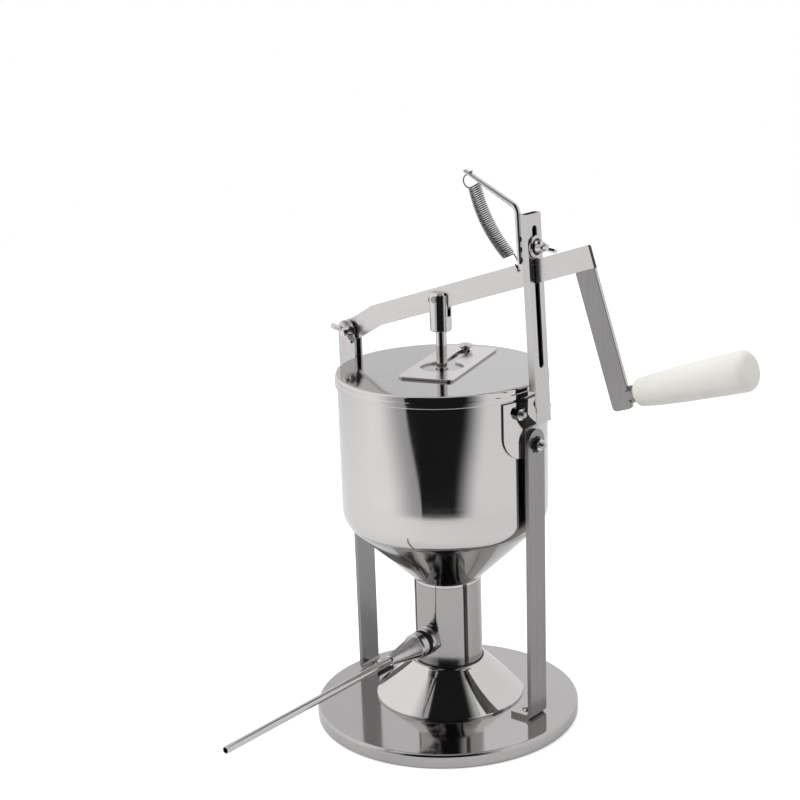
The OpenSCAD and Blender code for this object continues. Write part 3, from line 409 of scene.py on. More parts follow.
def turned(outline, place=Matrix(), steps=96):
    """A closed solid of revolution. The outline holds (radius, height) pairs and may end on the axis."""
    bm = bmesh.new()
    corners = [bm.verts.new((r, 0.0, h)) for r, h in outline]
    pairs = list(zip(corners, corners[1:]))
    if outline[0][0] > 0:
        pairs.append((corners[-1], corners[0]))
    edges = [bm.edges.new(pair) for pair in pairs]
    bmesh.ops.spin(bm, geom=corners + edges, cent=(0, 0, 0), axis=(0, 0, 1), angle=2 * math.pi,
                   steps=steps, use_merge=True)
    bmesh.ops.remove_doubles(bm, verts=bm.verts, dist=1e-4)
    bmesh.ops.recalc_face_normals(bm, faces=bm.faces)
    bmesh.ops.transform(bm, matrix=place, verts=bm.verts)
    return bm


def rounded(bm, radius, segments=3, above=28.0):
    """Rounds every edge that turns by more than the given angle."""
    limit = math.radians(above)
    edges = [e for e in bm.edges if e.is_manifold and e.calc_face_angle() > limit]
    bmesh.ops.bevel(bm, geom=edges, offset=radius, offset_type="OFFSET", affect="EDGES", segments=segments,
                    profile=0.5, material=-1, clamp_overlap=True)
    return bm


def cad_copy(node):
    """The CAD node's own form, merged and with its flat faces whole, in millimetres."""
    bm = bmesh.new()
    bm.from_mesh(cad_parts[node].data)
    bmesh.ops.transform(bm, matrix=Matrix.Scale(1 / MM, 4), verts=bm.verts)
    bmesh.ops.remove_doubles(bm, verts=bm.verts, dist=1e-3)
    bmesh.ops.dissolve_limit(bm, angle_limit=math.radians(0.4), verts=bm.verts, edges=bm.edges)
    return bm


def arc(centre, radius, start, end, count):
    """Points on an arc, as (radius, height) pairs."""
    angles = [math.radians(start + (end - start) * i / count) for i in range(count + 1)]
    return [(centre[0] + radius * math.cos(a), centre[1] + radius * math.sin(a)) for a in angles]


def thread(radius, low, high, pitch=1.0, depth=0.4):
    """The outline of a screw thread, from its root below to its crest and back."""
    count = int((high - low) / pitch)
    return [(radius - depth * (k % 2), low + k * pitch / 2) for k in range(2 * count + 1)]


def tube(path, radius, sides=12):
    """A round bar along a path, swept by a curve and closed at both ends."""
    curve = bpy.data.curves.new("path", "CURVE")
    curve.dimensions = "3D"
    curve.bevel_depth = radius
    curve.bevel_resolution = sides // 4 - 1
    curve.use_fill_caps = True
    line = curve.splines.new("POLY")
    line.points.add(len(path) - 1)
    for point, at in zip(line.points, path):
        point.co = (*at, 1.0)
    holder = bpy.data.objects.new("path", curve)
    mesh = bpy.data.meshes.new_from_object(holder)
    bm = bmesh.new()
    bm.from_mesh(mesh)
    bmesh.ops.remove_doubles(bm, verts=bm.verts, dist=1e-4)
    bpy.data.objects.remove(holder)
    bpy.data.curves.remove(curve)
    bpy.data.meshes.remove(mesh)
    return bm


ALONG_NOZZLE = Matrix.Translation((0, 0, OUTLET_Z)) @ Matrix.Rotation(math.radians(90), 4, "X")
IN_LEVER = Matrix.Translation((0, 0, PIN_Z)) @ Matrix.Rotation(math.radians(-LEVER_SLOPE), 4, "Y")
TO_X = Matrix.Rotation(math.radians(90), 4, "Y")
ALONG_GRIP = IN_LEVER @ Matrix.Translation((LEVER_REACH, 0, GRIP_T)) @ TO_X


def on_post(z):
    """The frame of the leaning post's outer face at a height."""
    x = POST_X - (z - POST_Z) * math.tan(math.radians(POST_LEAN))
    return Matrix.Translation((x, 0, z)) @ Matrix.Rotation(math.radians(-POST_LEAN), 4, "Y")


def painted(bm, number):
    """Gives every face the material with the number that the function returns for it."""
    bm.normal_update()
    for face in bm.faces:
        face.material_index = int(number(face))
    return bm


def corner(bm, chosen, radius, place=Matrix()):
    """Rounds the edges whose two ends pass the test in the frame of the place."""
    back = place.inverted()
    edges = [e for e in bm.edges if all(chosen(back @ v.co) for v in e.verts)]
    bmesh.ops.bevel(bm, geom=edges, offset=radius, offset_type="OFFSET", affect="EDGES", segments=6,
                    profile=0.5, material=-1, clamp_overlap=True)


def base_plate():
    bm = turned([(0, 0), (BASE_R, 0), (BASE_R, BASE_TOP), (0, BASE_TOP)], steps=240)
    rounded(bm, BASE_EDGE, segments=6)
    bmesh.ops.translate(bm, vec=(BASE_CENTRE.x, BASE_CENTRE.y, 0), verts=bm.verts)
    finished("round_base", bm, "stand", top_polish, ["base_plate"])


def pedestal():
    r = ped_high.x
    top = ped_high.z
    shoulder = arc((PED_TOP_R - PED_ROUND, top - PED_ROUND), PED_ROUND, 25, 90, 8)
    hole = TUBE_R + PED_GAP
    outline = [(hole, top - PED_WALL), (PED_TOP_R - PED_ROUND, top - PED_WALL)]
    outline += [(r - PED_WALL, BASE_TOP + PED_LIP), (r - PED_WALL, BASE_TOP)]
    outline += [(r, BASE_TOP), (r, BASE_TOP + PED_LIP)]
    bm = turned(outline + shoulder + [(hole, top)], steps=240)
    rounded(bm, 0.5, above=40)
    finished("spun_pedestal", bm, "stand", round_polish, ["pedestal"])
    # A dark ring where the tube meets the pedestal: painted shade of the gap under the tube
    near, far = TUBE_R - 0.2, TUBE_R + 1.2
    seam = [(near, top - 0.4), (far, top - 0.2), (far, top + 0.4), (near, top + 1.5)]
    finished("tube_seam_shade", turned(seam, steps=160), "stand", dark_steel_and_painted_shade)


def pump_cylinder():
    low, high = tube_low.z, tube_high.z
    inner = TUBE_R - TUBE_WALL
    bm = turned([(inner, low), (TUBE_R, low), (TUBE_R, high), (inner, high)], steps=240)
    finished("pump_tube", bm, "stand", tube_polish, ["pump_cylinder"])


def hopper():
    cone_z = tube_high.z + HOPPER_NECK
    corner_z = cone_z + HOPPER_CONE
    slope = math.atan2(HOPPER_CONE, HOPPER_R - TUBE_R)
    rise = (1 - math.sin(slope)) / math.cos(slope)
    bend = (HOPPER_R - HOPPER_BEND, corner_z + HOPPER_BEND * rise)
    down = math.degrees(slope) - 90
    inner = TUBE_R - TUBE_WALL
    inner_z = cone_z - TUBE_WALL * math.tan(slope) + HOPPER_WALL / math.cos(slope)
    outline = [(inner, tube_high.z), (TUBE_R, tube_high.z), (TUBE_R, cone_z)]
    outline += arc(bend, HOPPER_BEND, down, 0, 14)
    outline += [(HOPPER_R, RIM_Z), (HOPPER_R - HOPPER_WALL, RIM_Z)]
    outline += arc(bend, HOPPER_BEND - HOPPER_WALL, 0, down, 14) + [(inner, inner_z)]
    bm = rounded(turned(outline, steps=256), 0.5, above=40)
    # The cone's downward faces take the tube steel: its higher roughness is their satin finish, and its
    # darker colour is painted shade
    painted(bm, lambda face: face.normal.z < -0.5)
    finished("hopper_pan", bm, "stand", [round_polish, tube_polish], ["hopper"])


def lid():
    inside = LID_R - LID_T
    under = LID_Z - LID_T
    neck = LID_R - LID_STEP
    outline = [(LID_HOLE_R, under), (LID_HOLE_R, LID_Z)]
    outline += arc((neck - LID_EDGE, LID_Z - LID_EDGE), LID_EDGE, 90, 0, 8)
    outline += [(neck, LID_Z - LID_STEP_TOP), (LID_R, LID_Z - LID_STEP_LOW)]
    outline += arc((LID_R - LID_LIP, lid_low.z + LID_LIP), LID_LIP, 0, -90, 5)
    outline.append((inside, lid_low.z))
    outline += arc((LID_R - LID_EDGE, LID_Z - LID_EDGE), LID_EDGE - LID_T, 0, 90, 4)
    bm = painted(turned(outline, steps=256), lambda face: abs(face.normal.z) < 0.8)
    finished("flat_lid", bm, "lid", [top_polish, round_polish], ["lid"])


def lid_knob():
    r = (knob_high.x - knob_low.x) / 2
    h = knob_high.z - LID_Z
    outline = [(0, 0), (KNOB_SHANK_R, 0), (KNOB_SHANK_R, KNOB_SHANK_H), (KNOB_FOOT_R, KNOB_SHANK_H)]
    outline += [(r, h - 3), (r, h - 2.2)]
    outline += [(r * 0.86, h - 1.0), (r * 0.6, h - 0.35), (r * 0.3, h - 0.08), (0, h)]
    bm = turned(outline, Matrix.Translation((KNOB.x, KNOB.y, LID_Z)), steps=64)
    finished("cover_knob", bm, "lid", turned_steel, ["lid_knob"])


def outlet():
    """The union: its inner end is seated on the round tube, and its rim has six flats."""
    start = TUBE_R + SEAT_GAP
    inner = start - UNION_IN
    ring = -boss_low.y
    face = -seal_high.y - SEAT_GAP
    outline = [(OUTLET_BORE, inner), (UNION_R, inner), (UNION_R, start + UNION_RIM)]
    outline += thread(NECK_R, start + NECK_THREAD_LOW, start + NECK_THREAD_HIGH, depth=NECK_DEPTH)
    outline += [(NECK_R, face - 1.0), (NECK_R - 0.4, face - 0.5), (NECK_R - 1.0, face)]
    outline += [(SPIGOT_R, face), (SPIGOT_R, ring), (OUTLET_BORE, ring)]
    bm = turned(outline, ALONG_NOZZLE, steps=96)
    for vert in bm.verts:
        x, z = vert.co.x, vert.co.z - OUTLET_Z
        if -vert.co.y < inner + 0.1:
            vert.co.y = -math.sqrt(start * start - x * x)
        reach = math.hypot(x, z)
        turn = (math.atan2(z, x) + math.pi / 12) % (math.pi / 3) - math.pi / 6
        flat = UNION_FLAT / math.cos(turn)
        if reach > flat and -vert.co.y < start + UNION_RIM + 0.2:
            vert.co.x *= flat / reach
            vert.co.z = OUTLET_Z + z * flat / reach
    finished("outlet_union", bm, "stand", nozzle_satin, ["outlet_boss"], sharp=14)


def outlet_seal():
    near, far = -seal_high.y, -seal_low.y
    r = (seal_high.z - seal_low.z) / 2
    outline = [(SOCKET_R, near), (r, near), (r, far), (SOCKET_R, far)]
    bm = turned(outline, ALONG_NOZZLE, steps=96)
    rounded(bm, 0.7, segments=4)
    finished("outlet_ring", bm, "stand", black_rubber, ["outlet_seal"])


def nozzle():
    """The reducer with its collar and cone, and the long filling tube that is plugged into it."""
    start, tip = -cone_high.y, -cone_low.y
    collar = (cone_high.z - cone_low.z) / 2
    cone_y = start + COLLAR_LEN
    outline = [(SOCKET_R, start), (collar - 0.8, start), (collar, start + 0.8), (collar, cone_y - 1.4)]
    outline += [(collar - 0.9, cone_y - 0.3), (collar - 1.6, cone_y - 0.2), (CONE_R, cone_y + 0.4)]
    outline += [(CONE_TIP_R, tip - 2.0), (CONE_TIP_R, tip - 0.4), (CONE_TIP_R - 0.4, tip)]
    outline += [(CONE_BORE, tip), (CONE_BORE, tip - CONE_BORE_LEN)]
    outline += [(OUTLET_BORE, start + SOCKET_DEPTH), (SOCKET_R, start + SOCKET_DEPTH)]
    bm = rounded(turned(outline, ALONG_NOZZLE, steps=128), 0.25, above=40)
    finished("nozzle_reducer", bm, "stand", nozzle_satin, ["nozzle_cone"])
    r = (spout_high.x - spout_low.x) / 2
    near, far = -spout_high.y, -spout_low.y
    bore, plug, step = r - SPOUT_WALL, r - SPOUT_STEP, tip + 0.2
    outline = [(bore, near), (plug, near), (plug, step), (r, step), (r, far), (bore, far)]
    bm = rounded(turned(outline, ALONG_NOZZLE, steps=64), 0.2)
    finished("filling_tube", bm, "stand", turned_steel, ["nozzle_tube"])


def piston_rod():
    low, high = rod_low.z, rod_high.z
    step = low + ROD_END_LEN
    outline = [(0, low), (ROD_END_R, low), (ROD_END_R, step), (ROD_R, step), (ROD_R, high), (0, high)]
    bm = rounded(turned(outline, steps=64), 0.4)
    finished("lift_rod", bm, "piston", round_polish, ["piston_rod"])


def grip():
    """The handle widens from its rounded foot to its rounded end; a ring stands behind it."""
    start = GRIP_NUT_H + GRIP_GAP
    outline = [(0, 0), (4.2, 0), (9.0, 0)] + arc((9.2, 3.0), 3.0, -80, -12, 6) + [(14.0, 20), (15.4, 45)]
    outline += arc((GRIP_END_R - GRIP_NOSE, GRIP_LEN - GRIP_NOSE), GRIP_NOSE, 4, 84, 12)
    outline.append((0, GRIP_LEN))
    bm = turned(outline, ALONG_GRIP @ Matrix.Translation((0, 0, start)), steps=128)
    finished("hand_grip", bm, "lever", white_nylon, ["grip"])
    ring = [(0, GRIP_NUT_H), (GRIP_RING_R, GRIP_NUT_H), (GRIP_RING_R, start + 1), (0, start + 1)]
    bm = rounded(turned(ring, ALONG_GRIP, steps=48), 0.5)
    finished("grip_collar", bm, "lever", nut_zinc)


def lever_arm():
    """The arm's narrow side takes the lighter post steel as a painted highlight, and the bevel beside it
    is painted dark as a painted reflection; its lower end has round corners.
    """
    bm = cad_copy("lever_arm")
    back = IN_LEVER.inverted()
    spots = [back @ v.co for v in bm.verts]
    low = min(p.z for p in spots)
    left, right = min(p.x for p in spots), max(p.x for p in spots)
    corner(bm, lambda p: p.z < low + 0.01 and p.x < left + 0.01, ARM_ROUND, IN_LEVER)
    corner(bm, lambda p: p.z < low + 0.01 and p.x > right - 0.01, ARM_ROUND, IN_LEVER)
    turn = back.to_3x3()

    # 1: painted highlight on the narrow side, 2: painted dark line on the bevel, 0: the arm's own steel
    def number(face):
        way = turn @ face.normal
        return 1 if way.x > 0.95 else 2 if way.x > 0.2 and way.z > -0.2 else 0
    painted(rounded(bm, 0.5), number)
    finished("bent_arm", bm, "lever", [leg_satin, post_satin, dark_steel_and_painted_shade], ["lever_arm"])


def lever_bar():
    """The long bar; its end face is painted dark, as painted shade."""
    bm = cad_copy("lever_bar")
    back = IN_LEVER.inverted()
    spots = [back @ v.co for v in bm.verts]
    high, right = max(p.z for p in spots), max(p.x for p in spots)
    corner(bm, lambda p: p.z > high - 0.01 and p.x > right - 0.01, LEVER_ROUND, IN_LEVER)
    turn = back.to_3x3()

    # The faces of the bar's end: painted shade
    def shaded_end(face):
        return (turn @ face.normal).x > 0.3 and (back @ face.calc_center_median()).x > right - 1
    painted(rounded(bm, 0.5), shaded_end)
    finished("flat_lever", bm, "lever", [lever_satin, dark_steel_and_painted_shade], ["lever_bar"])


def guide_post():
    """The slotted post's inside is painted dark as painted shade, and so is its strip where it meets the
    lid, for the shaded gap by the hopper.
    """
    bm = rounded(cad_copy("guide_post"), 0.4)

    # Faces painted dark: painted shade inside the post and on its strip below the lid
    def inside(face):
        spot = face.calc_center_median()
        here = on_post(spot.z).inverted() @ spot
        if spot.z < POST_Z:
            return spot.z > leg_high.z
        return -POST_DEPTH + 0.2 < here.x < -0.2 and abs(here.y) < POST_HALF_W - 0.2
    painted(bm, inside)
    finished("slotted_post", bm, "stand", [post_satin, dark_steel_and_painted_shade], ["guide_post"])
    cap = bmesh.new()
    size = Matrix.Diagonal((POST_DEPTH - 2.7, 2 * POST_HALF_W - 3.0, 1.0, 1.0))
    middle = Matrix.Translation((-POST_DEPTH / 2, 0, -1.2))
    bmesh.ops.create_cube(cap, size=1.0, matrix=on_post(post_high.z) @ middle @ size)
    finished("post_cap", rounded(cap, 0.25), "stand", post_satin)


def stop_washer():
    """A flat washer whose ring under the wing nut is painted dark, as painted shade of the nut."""
    low, high = low_high("stop_washer")
    centre = (low + high) / 2
    r = (high.y - low.y) / 2
    thick = STOP_WASHER_T
    outline = [(STOP_HOLE_R, 0), (r, 0), (r, thick * 0.7), (r - 0.3, thick)]
    outline += [(STOP_SHADE_R + 0.1, thick), (STOP_SHADE_R - 0.1, thick), (STOP_HOLE_R, thick)]
    place = Matrix.Translation(centre) @ Matrix.Rotation(math.radians(-POST_LEAN), 4, "Y") @ TO_X
    bm = turned(outline, place @ Matrix.Translation((0, 0, -thick / 2)), steps=64)
    back = place.inverted()

    # The ring under the nut, on its outer side: painted shade
    def dark(face):
        spot = face.calc_center_median()
        return (back @ spot).xy.length < STOP_SHADE_R and spot.x > centre.x
    painted(bm, dark)
    finished("slot_washer", bm, "stop", [post_satin, dark_steel_and_painted_shade], ["stop_washer"])


def screw(place, seat, end):
    """A domed screw whose free end shows its thread."""
    outline = [(0, seat - 3.0), (2.0, seat - 2.8), (3.8, seat - 2.0), (5.0, seat - 0.9)]
    outline += [(SCREW_HEAD_R, seat), (SCREW_R, seat), (SCREW_R, end - TAIL - 1)]
    outline += thread(SCREW_R, end - TAIL, end - 0.8) + [(2.2, end), (0, end)]
    return turned(outline, place, steps=32)


def screws():
    pad_end = PAD_R + NUT_H + TAIL
    pad, leg = [], []
    for side in (0, 180):
        for turn in (-PAD_SCREW_DEG, PAD_SCREW_DEG):
            spin = Matrix.Rotation(math.radians(side + turn), 4, "Z")
            pad.append(screw(spin @ Matrix.Translation((0, 0, PAD_SCREW_Z)) @ TO_X, SCREW_SEAT, pad_end))
        spin = Matrix.Rotation(math.radians(side), 4, "Z")
        place = spin @ Matrix.Translation((0, 0, LEG_SCREW_Z)) @ TO_X
        leg.append(screw(place, SCREW_SEAT, leg_screw_high.x))
    finished("pad_screws", joined(*pad), "stand", screw_zinc, ["pad_bolts"])
    finished("leg_screws", joined(*leg), "stand", screw_zinc, ["leg_bolts"])
    bm = rounded(cad_copy("foot_screws"), 0.3, segments=2)
    finished("base_screws", bm, "stand", bright_zinc, ["foot_screws"])


def nuts():
    """Hexagon nuts whose sides are painted dark, as a painted reflection, with bright ends, and a toothed
    washer behind each one on the legs.
    """
    # The nuts' ends stay bright; their other faces get the painted dark reflection
    def end(face):
        outward = face.calc_center_median().xy.normalized()
        return face.normal.xy.dot(outward) > 0.35
    for node in ("pad_nuts", "leg_nuts"):
        bm = painted(rounded(cad_copy(node), 0.4), end)
        finished("eased_" + node, bm, "stand", [nut_side_painted_shade, bright_zinc], [node])
    washers = []
    for side in (0, 180):
        outline = [(TOOTH_HOLE_R, 0), (TOOTH_R, 0), (TOOTH_R, 0.7), (TOOTH_HOLE_R, 1.0)]
        bm = turned(outline, steps=2 * TEETH)
        for vert in bm.verts:
            place = round(math.atan2(vert.co.y, vert.co.x) / math.pi * TEETH)
            if place % 2 and vert.co.xy.length > 5:
                vert.co.xy *= TOOTH_ROOT / TOOTH_R
        spin = Matrix.Rotation(math.radians(side), 4, "Z")
        there = spin @ Matrix.Translation((leg_high.x + 0.02, 0, LEG_SCREW_Z)) @ TO_X
        bmesh.ops.transform(bm, matrix=there, verts=bm.verts)
        washers.append(bm)
    finished("leg_washers", joined(*washers), "stand", dark_steel_and_painted_shade)


def legs():
    """Flat bars bent at the foot; the foot's upward faces take the base's polish and its other faces are
    painted dark, as painted shade.
    """
    inner_x, foot_z = leg_high.x - LEG_T, BASE_TOP + LEG_T
    for node in ("left_leg", "right_leg"):
        bm = cad_copy(node)
        for x, z, radius in ((leg_high.x, BASE_TOP, LEG_BEND_OUT), (inner_x, foot_z, LEG_BEND_IN)):
            corner(bm, lambda p: abs(abs(p.x) - x) < 0.02 and abs(p.z - z) < 0.02, radius)
        rounded(bm, 0.6)

        # Foot faces that do not face up: painted shade
        def number(face):
            spot = face.calc_center_median()
            if spot.z > foot_z + 0.1 or abs(spot.x) > inner_x - 0.5:
                return 0
            return 1 if face.normal.z > 0.5 else 2
        painted(bm, number)
        finished("bent_" + node, bm, "stand", [leg_satin, top_polish, dark_steel_and_painted_shade], [node])


def pads():
    """Curved plates whose edge faces are painted dark, as painted shade of the gap by the hopper."""
    # Edge faces of the pads: painted shade
    def edge(face):
        middle = face.calc_center_median().xy.normalized()
        return abs(face.normal.xy.dot(middle)) < 0.7
    for node in ("left_pad", "right_pad"):
        bm = painted(rounded(cad_copy(node), 0.3, segments=2), edge)
        finished("curved_" + node, bm, "stand", [round_polish, dark_steel_and_painted_shade], [node])


def hanger():
    """The bent rod with its flattened eye, and its weld to the post drawn as a dark wavy bead, painted
    shade of the crevice along the weld.
    """
    frame_here = on_post(HANGER_Z)
    turn = math.radians(HANGER_TURN)
    way = (frame_here.to_3x3() @ Vector((-math.sin(turn), 0, math.cos(turn)))).normalized()
    eye = frame_here @ Vector((HANGER_EYE[0], HANGER_Y, HANGER_EYE[1]))
    thin = way.cross(Vector((0, 1, 0)))
    bm = cad_copy("spring_hanger")
    for vert in bm.verts:
        past = (vert.co - eye).dot(way)
        flat = min(max((past + EYE_FLAT_FROM) / EYE_FLAT_LEN, 0), 1)
        offset = vert.co - eye
        vert.co -= thin * offset.dot(thin) * EYE_THIN * flat
        vert.co.y += offset.y * EYE_WIDE * flat
    finished("hanger_rod", bm, "stand", bright_zinc, ["spring_hanger"], sharp=50)
    # A dark wavy bead along the weld: painted shade of the crevice
    wave = [(WELD_WAVE * math.sin(math.pi * k / 5), WELD_WAVE * k + 1) for k in range(30)]
    path = [frame_here @ Vector((-POST_DEPTH - 1.0 + w, -POST_HALF_W - 0.1, z)) for w, z in wave]
    finished("hanger_weld", tube(path, WELD_R), "stand", dark_steel_and_painted_shade, sharp=60)


def spring_hook(low, along, side, out):
    """The narrow hook through the lever's hole, and its flare up to the curls."""
    upright = Vector((along.x, 0, along.z)).normalized()
    hook = [(HOOK_TAIL - i, -HOOK_R) for i in range(3)]
    for i in range(25):
        a = math.radians(-90 + 7.5 * i)
        hook.append((HOOK_R * (1 - math.cos(a)) - HOOK_SHIFT, HOOK_R * math.sin(a)))
    hook.append((HOOK_SHANK, HOOK_R))
    path = [low + h * upright + Vector((0, y, 0)) for h, y in hook]
    narrow = path[-1]
    wide = low + (HOOK - HOOK_BEND) * along + SPRING_R * side + SPRING_LEAN * out
    for i in range(1, FLARE_STEPS):
        part = i / FLARE_STEPS
        flared = narrow.lerp(wide, part)
        flared.y = narrow.y + (wide.y - narrow.y) * (1 - math.cos(math.pi * part)) / 2
        path.append(flared)
    return path


def spring_curls(body):
    """The bend above the hook and the bowed, leaning curls, as (along, side, out)."""
    points = []
    for i in range(9):
        a = math.radians(10 * i)
        bend = SPRING_LEAN + HOOK_BEND * (1 - math.cos(a))
        points.append((HOOK - HOOK_BEND * (1 - math.sin(a)), SPRING_R, bend))
    steps = int(CURLS * CURL_STEPS)
    for i in range(steps + 1):
        s = i / steps
        a = 2 * math.pi * CURLS * s
        bow = SPRING_BOW * (1 - (2 * s - 1) ** 2) + SPRING_LEAN * (1 - s)
        points.append((HOOK + body * s, SPRING_R * math.cos(a), HOOK_BEND + SPRING_R * math.sin(a) + bow))
    return points


def spring_loop(body):
    """The bend above the curls and the loop in the hanger's eye, as (along, side, out)."""
    lift = math.radians(LOOP_DEG)
    start = Vector((HOOK + body, 0, HOOK_BEND + SPRING_R))
    leave = Vector((math.cos(lift), 0, math.sin(lift)))
    points = []
    for i in range(1, 9):
        a = math.radians(10 * i)
        points.append(start + HOOK_BEND * ((1 - math.cos(a)) * leave - Vector((0, math.sin(a), 0))))
    middle = start + HOOK_BEND * (leave - Vector((0, 1, 0)))
    middle += LOOP_R * Vector((math.sin(lift), 0, -math.cos(lift)))
    for i in range(27):
        a = math.radians(LOOP_DEG - 5 * i)
        points.append(middle + LOOP_R * Vector((-math.sin(a), 0, math.cos(a))))
    return points + [middle + Vector((LOOP_R, 0, -2 * i)) for i in range(1, 5)]


def spring_points():
    """The wire's path, and two points on its line, near the post and near the lever."""
    low = IN_LEVER @ Vector((SPRING_S, 0, SPRING_T))
    top = on_post(HANGER_Z) @ Vector((HANGER_EYE[0], HANGER_Y, HANGER_EYE[1]))
    reach = top + Vector((0, HOOK_BEND, 0)) - low
    along = reach.normalized()
    side = (Vector((0, 1, 0)) - along * along.y).normalized()
    out = along.cross(side)
    body = reach.length - HOOK - LOOP_LEN
    path = spring_hook(low, along, side, out)
    for p in spring_curls(body) + spring_loop(body):
        path.append(low + p[0] * along + p[1] * side + p[2] * out)
    return path, top - along * LOOP_LEN, low + along * HOOK_HOLD


def spring():
    """One wire from the post to the lever."""
    path, upper, lower = spring_points()
    wire = tube(path, WIRE_R)
    piece = finished("coil_spring", wire, None, spring_steel, ["return_spring"])
    upper * MM
    lower * MM
    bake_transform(piece)


# Every CAD form that only needs its edges eased: node, body, edge radius, material, slot
EASED = (
    ("pivot_bracket", "stand", 0.4, post_satin, "satin_steel"),
    ("pivot_bolt", "stand", 0.3, bright_zinc, "hardware"),
    ("grip_spindle", "lever", 0.4, bright_zinc, "hardware"),
    ("grip_nut", "lever", 0.3, nut_zinc, "hardware"),
    ("rod_clevis", "piston", 0.3, round_polish, "mirror_steel"),
    ("clevis_pin", "piston", 0.4, nut_zinc, "hardware"),
    ("stop_screw", "stop", 0.3, bright_zinc, "hardware"),
    ("stop_wing_nut", "stop_nut", 0.7, bright_zinc, "hardware"),
    ("pivot_wing_nut", "pivot_nut", 0.7, bright_zinc, "hardware"),
    ("cover_plate", "cover", 0.3, cover_satin, "satin_steel"),
)

# Inner pieces keep their CAD form
INNER = {"cylinder_floor": round_polish, "piston_head": turned_steel, "piston_seal": black_rubber,
         "valve_flap": black_rubber, "valve_washer": bright_zinc, "piston_nut": bright_zinc}


def eased_pieces():
    for node, body, radius, material, slot in EASED:
        bm = rounded(cad_copy(node), radius)
        finished("eased_" + node, bm, body, material, [node])


def inner_pieces():
    for node, material in INNER.items():
        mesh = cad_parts[node].data
        mesh.materials.clear()
        mesh.materials.append(material)


# Photograph's camera: degrees round and above the object, millimetres, and the image's own 800 pixel frame
VIEW_TURN = 37.84
VIEW_RISE = 17.53
VIEW_ROLL = -1.51
VIEW_REACH = 1574.2
VIEW_TARGET = Vector((0, 0, 250))
FRAME_PX = 800.0
FOCAL_PX = 1693.2
CENTRE_PX = (444.3, 457.3)
SENSOR = 36.0


def camera():
    turn, rise = math.radians(VIEW_TURN), math.radians(VIEW_RISE)
    back = Vector((math.sin(turn) * math.cos(rise), -math.cos(turn) * math.cos(rise), math.sin(rise)))
    data = bpy.data.cameras.new("photo_view")
    data.sensor_width = SENSOR
    data.lens = FOCAL_PX / FRAME_PX * SENSOR
    data.shift_x = 0.5 - CENTRE_PX[0] / FRAME_PX
    data.shift_y = CENTRE_PX[1] / FRAME_PX - 0.5
    data.clip_end = 100.0
    view = bpy.data.objects.new("photo_view", data)
    straight = (-back).to_track_quat("-Z", "Y").to_matrix()
    view.matrix_world = Matrix.Translation((VIEW_TARGET + back * VIEW_REACH) * MM) @ (
        straight @ Matrix.Rotation(math.radians(VIEW_ROLL), 3, "Z")).to_4x4()
    bpy.context.scene.collection.objects.link(view)
    bpy.context.scene.camera = view


# Studio: a white table whose front edge is near, a dark room behind the camera and white walls
TABLE_FRONT = 722.0
TABLE_BACK = 2700.0
TABLE_NEAR = 120.0
TABLE_HALF = 1400.0
TABLE_WHITE = 0.88
TABLE_GLOW = 0.45
SKY_LIGHT = 0.55

# What the steel mirrors: edges are degrees from the camera's side, rises are sines, and 1 is white
DARK_ROOM = 0.012
LEFT_NEAR = (-42, -40)
LEFT_NEAR_LIGHT = 0.42
LEFT_FAR = (-80, -44)
LEFT_FAR_LIGHT = 0.62
RIGHT_EDGE = (22, 52)
RIGHT_LIGHT = 0.9
BACK_EDGE = (-175, -130)
BACK_DIM = 0.25
TAPER_RISE = (-0.335, -0.265)
TAPER_DEG = 15
HIGH_RISE = (0.6, 0.85)
HIGH_LEFT_DEG = 12
HIGH_RIGHT_DEG = 20
OVERHEAD_RISE = (0.96, 0.985)
OVERHEAD_LIGHT = 0.6

# Soft lamps: name, degrees round from the camera, degrees up, metres away, metres wide, watts
LAMPS = (
    ("left_softbox", -70, 45, 2.0, 1.4, 20.0),
    ("right_softbox", 60, 40, 2.2, 1.4, 8.0),
    ("top_softbox", 170, 70, 2.0, 1.6, 10.0),
)


def floor():
    """A round table front on a wide sheet that runs back under the machine."""
    bm = bmesh.new()
    bmesh.ops.create_circle(bm, cap_ends=True, segments=180, radius=TABLE_FRONT)
    stretch = Matrix.Diagonal((TABLE_HALF, TABLE_BACK / 2, 1, 1))
    sheet = Matrix.Translation((0, TABLE_BACK / 2 - TABLE_NEAR, -1.0)) @ stretch
    bmesh.ops.create_grid(bm, x_segments=1, y_segments=1, size=1.0, matrix=sheet)
    side = Matrix.Rotation(math.radians(VIEW_TURN), 4, "Z")
    bmesh.ops.transform(bm, matrix=Matrix.Scale(MM, 4) @ side, verts=bm.verts)
    mesh = bpy.data.meshes.new("table")
    bm.to_mesh(mesh)
    bm.free()
    table = bpy.data.objects.new("table", mesh)
    bpy.context.scene.collection.objects.link(table)
    material, nodes = new_material("white_table")
    seen = nodes.add("ShaderNodeLightPath", output="Is Camera Ray")
    matte = nodes.add("ShaderNodeBsdfDiffuse", None, {"Color": (TABLE_WHITE, TABLE_WHITE, TABLE_WHITE, 1)})
    glow = nodes.add("ShaderNodeEmission", None, {"Color": (1, 1, 1, 1), "Strength": TABLE_GLOW * seen})
    both = nodes.add("ShaderNodeAddShader", None, {0: matte, 1: glow})
    nodes.add("ShaderNodeOutputMaterial", None, {"Surface": both})
    mesh.materials.append(material)


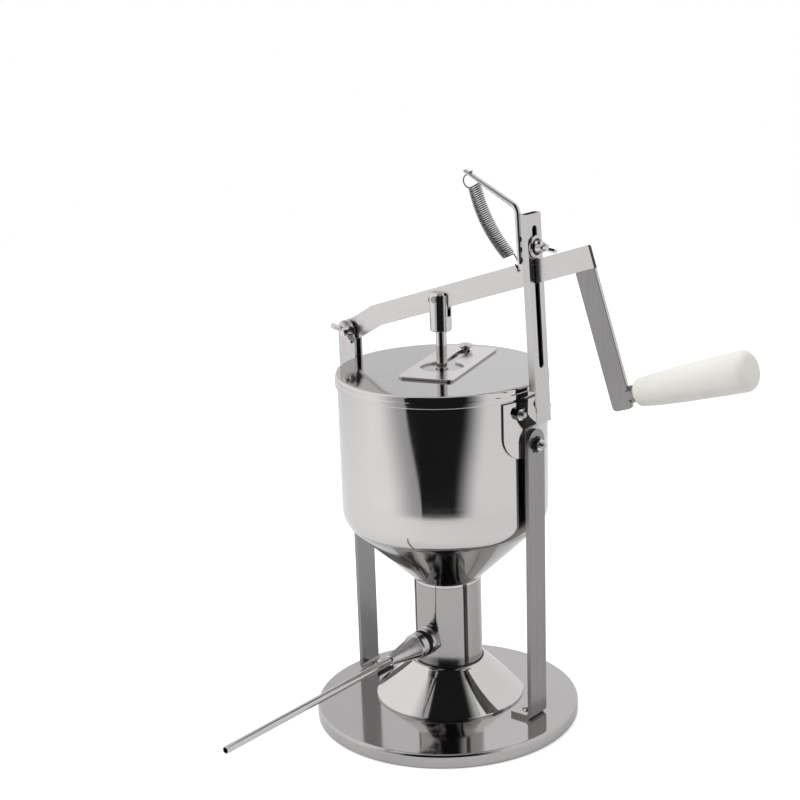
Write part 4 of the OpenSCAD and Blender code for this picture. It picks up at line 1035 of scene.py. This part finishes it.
def studio():
    """A white backdrop for the camera, even light for matte faces and a room for the mirrors."""
    world = bpy.data.worlds.new("studio")
    bpy.context.scene.world = world
    world.use_nodes = True
    nodes = Nodes(world.node_tree)
    way = nodes.add("ShaderNodeTexCoord", output="Generated")
    turn = math.radians(VIEW_TURN)
    to_camera = (math.sin(turn), -math.cos(turn), 0.0)
    to_right = (math.cos(turn), math.sin(turn), 0.0)

    def part(axis):
        dot = {"operation": "DOT_PRODUCT"}
        return nodes.add("ShaderNodeVectorMath", dot, {0: way, 1: axis}, output="Value")
    ahead, aside, rise = part(to_camera), part(to_right), part((0, 0, 1))
    angle = aside.math("ARCTAN2", aside, ahead) * (180 / math.pi)
    taper = TAPER_DEG * (1 - rise.smooth(*TAPER_RISE))
    high = rise.smooth(*HIGH_RISE)
    left = angle - taper + HIGH_LEFT_DEG * high
    right = angle + taper - HIGH_RIGHT_DEG * high
    near_wall = LEFT_NEAR_LIGHT * (1 - left.smooth(*LEFT_NEAR))
    left_wall = near_wall + LEFT_FAR_LIGHT * (1 - left.smooth(*LEFT_FAR))
    wall = left_wall + RIGHT_LIGHT * right.smooth(*RIGHT_EDGE)
    back = BACK_DIM * (1 - angle.smooth(*BACK_EDGE))
    overhead = rise.smooth(*OVERHEAD_RISE)
    studio_light = (DARK_ROOM + wall - back) * (1 - overhead) + OVERHEAD_LIGHT * overhead
    seen = nodes.add("ShaderNodeLightPath", output="Is Camera Ray")
    mirrored = nodes.add("ShaderNodeLightPath", output="Is Glossy Ray")
    strength = seen + SKY_LIGHT * (1 - seen) * (1 - mirrored) + studio_light * mirrored
    sky = nodes.add("ShaderNodeBackground", None, {"Color": (1, 1, 1, 1), "Strength": strength})
    nodes.add("ShaderNodeOutputWorld", None, {"Surface": sky})


def lamp(name, turn, rise, reach, size, power):
    """A soft square lamp that faces the machine. It lights the matte pieces and the table."""
    a, e = math.radians(VIEW_TURN + turn), math.radians(rise)
    back = Vector((math.sin(a) * math.cos(e), -math.cos(a) * math.cos(e), math.sin(e)))
    data = bpy.data.lights.new(name, "AREA")
    data.size = size
    data.energy = power
    light = bpy.data.objects.new(name, data)
    aim = (-back).to_track_quat("-Z", "Y").to_matrix().to_4x4()
    light.matrix_world = Matrix.Translation(VIEW_TARGET * MM + back * reach) @ aim
    light.visible_glossy = False
    bpy.context.scene.collection.objects.link(light)


base_plate()
pedestal()
pump_cylinder()
hopper()
lid()
lid_knob()
outlet()
outlet_seal()
nozzle()
piston_rod()
lever_bar()
lever_arm()
grip()
guide_post()
stop_washer()
screws()
nuts()
legs()
pads()
hanger()
spring()
eased_pieces()
inner_pieces()
camera()
floor()
studio()
for settings in LAMPS:
    lamp(*settings)

bpy.context.scene.view_settings.view_transform = "Standard"
bpy.context.view_layer.update()
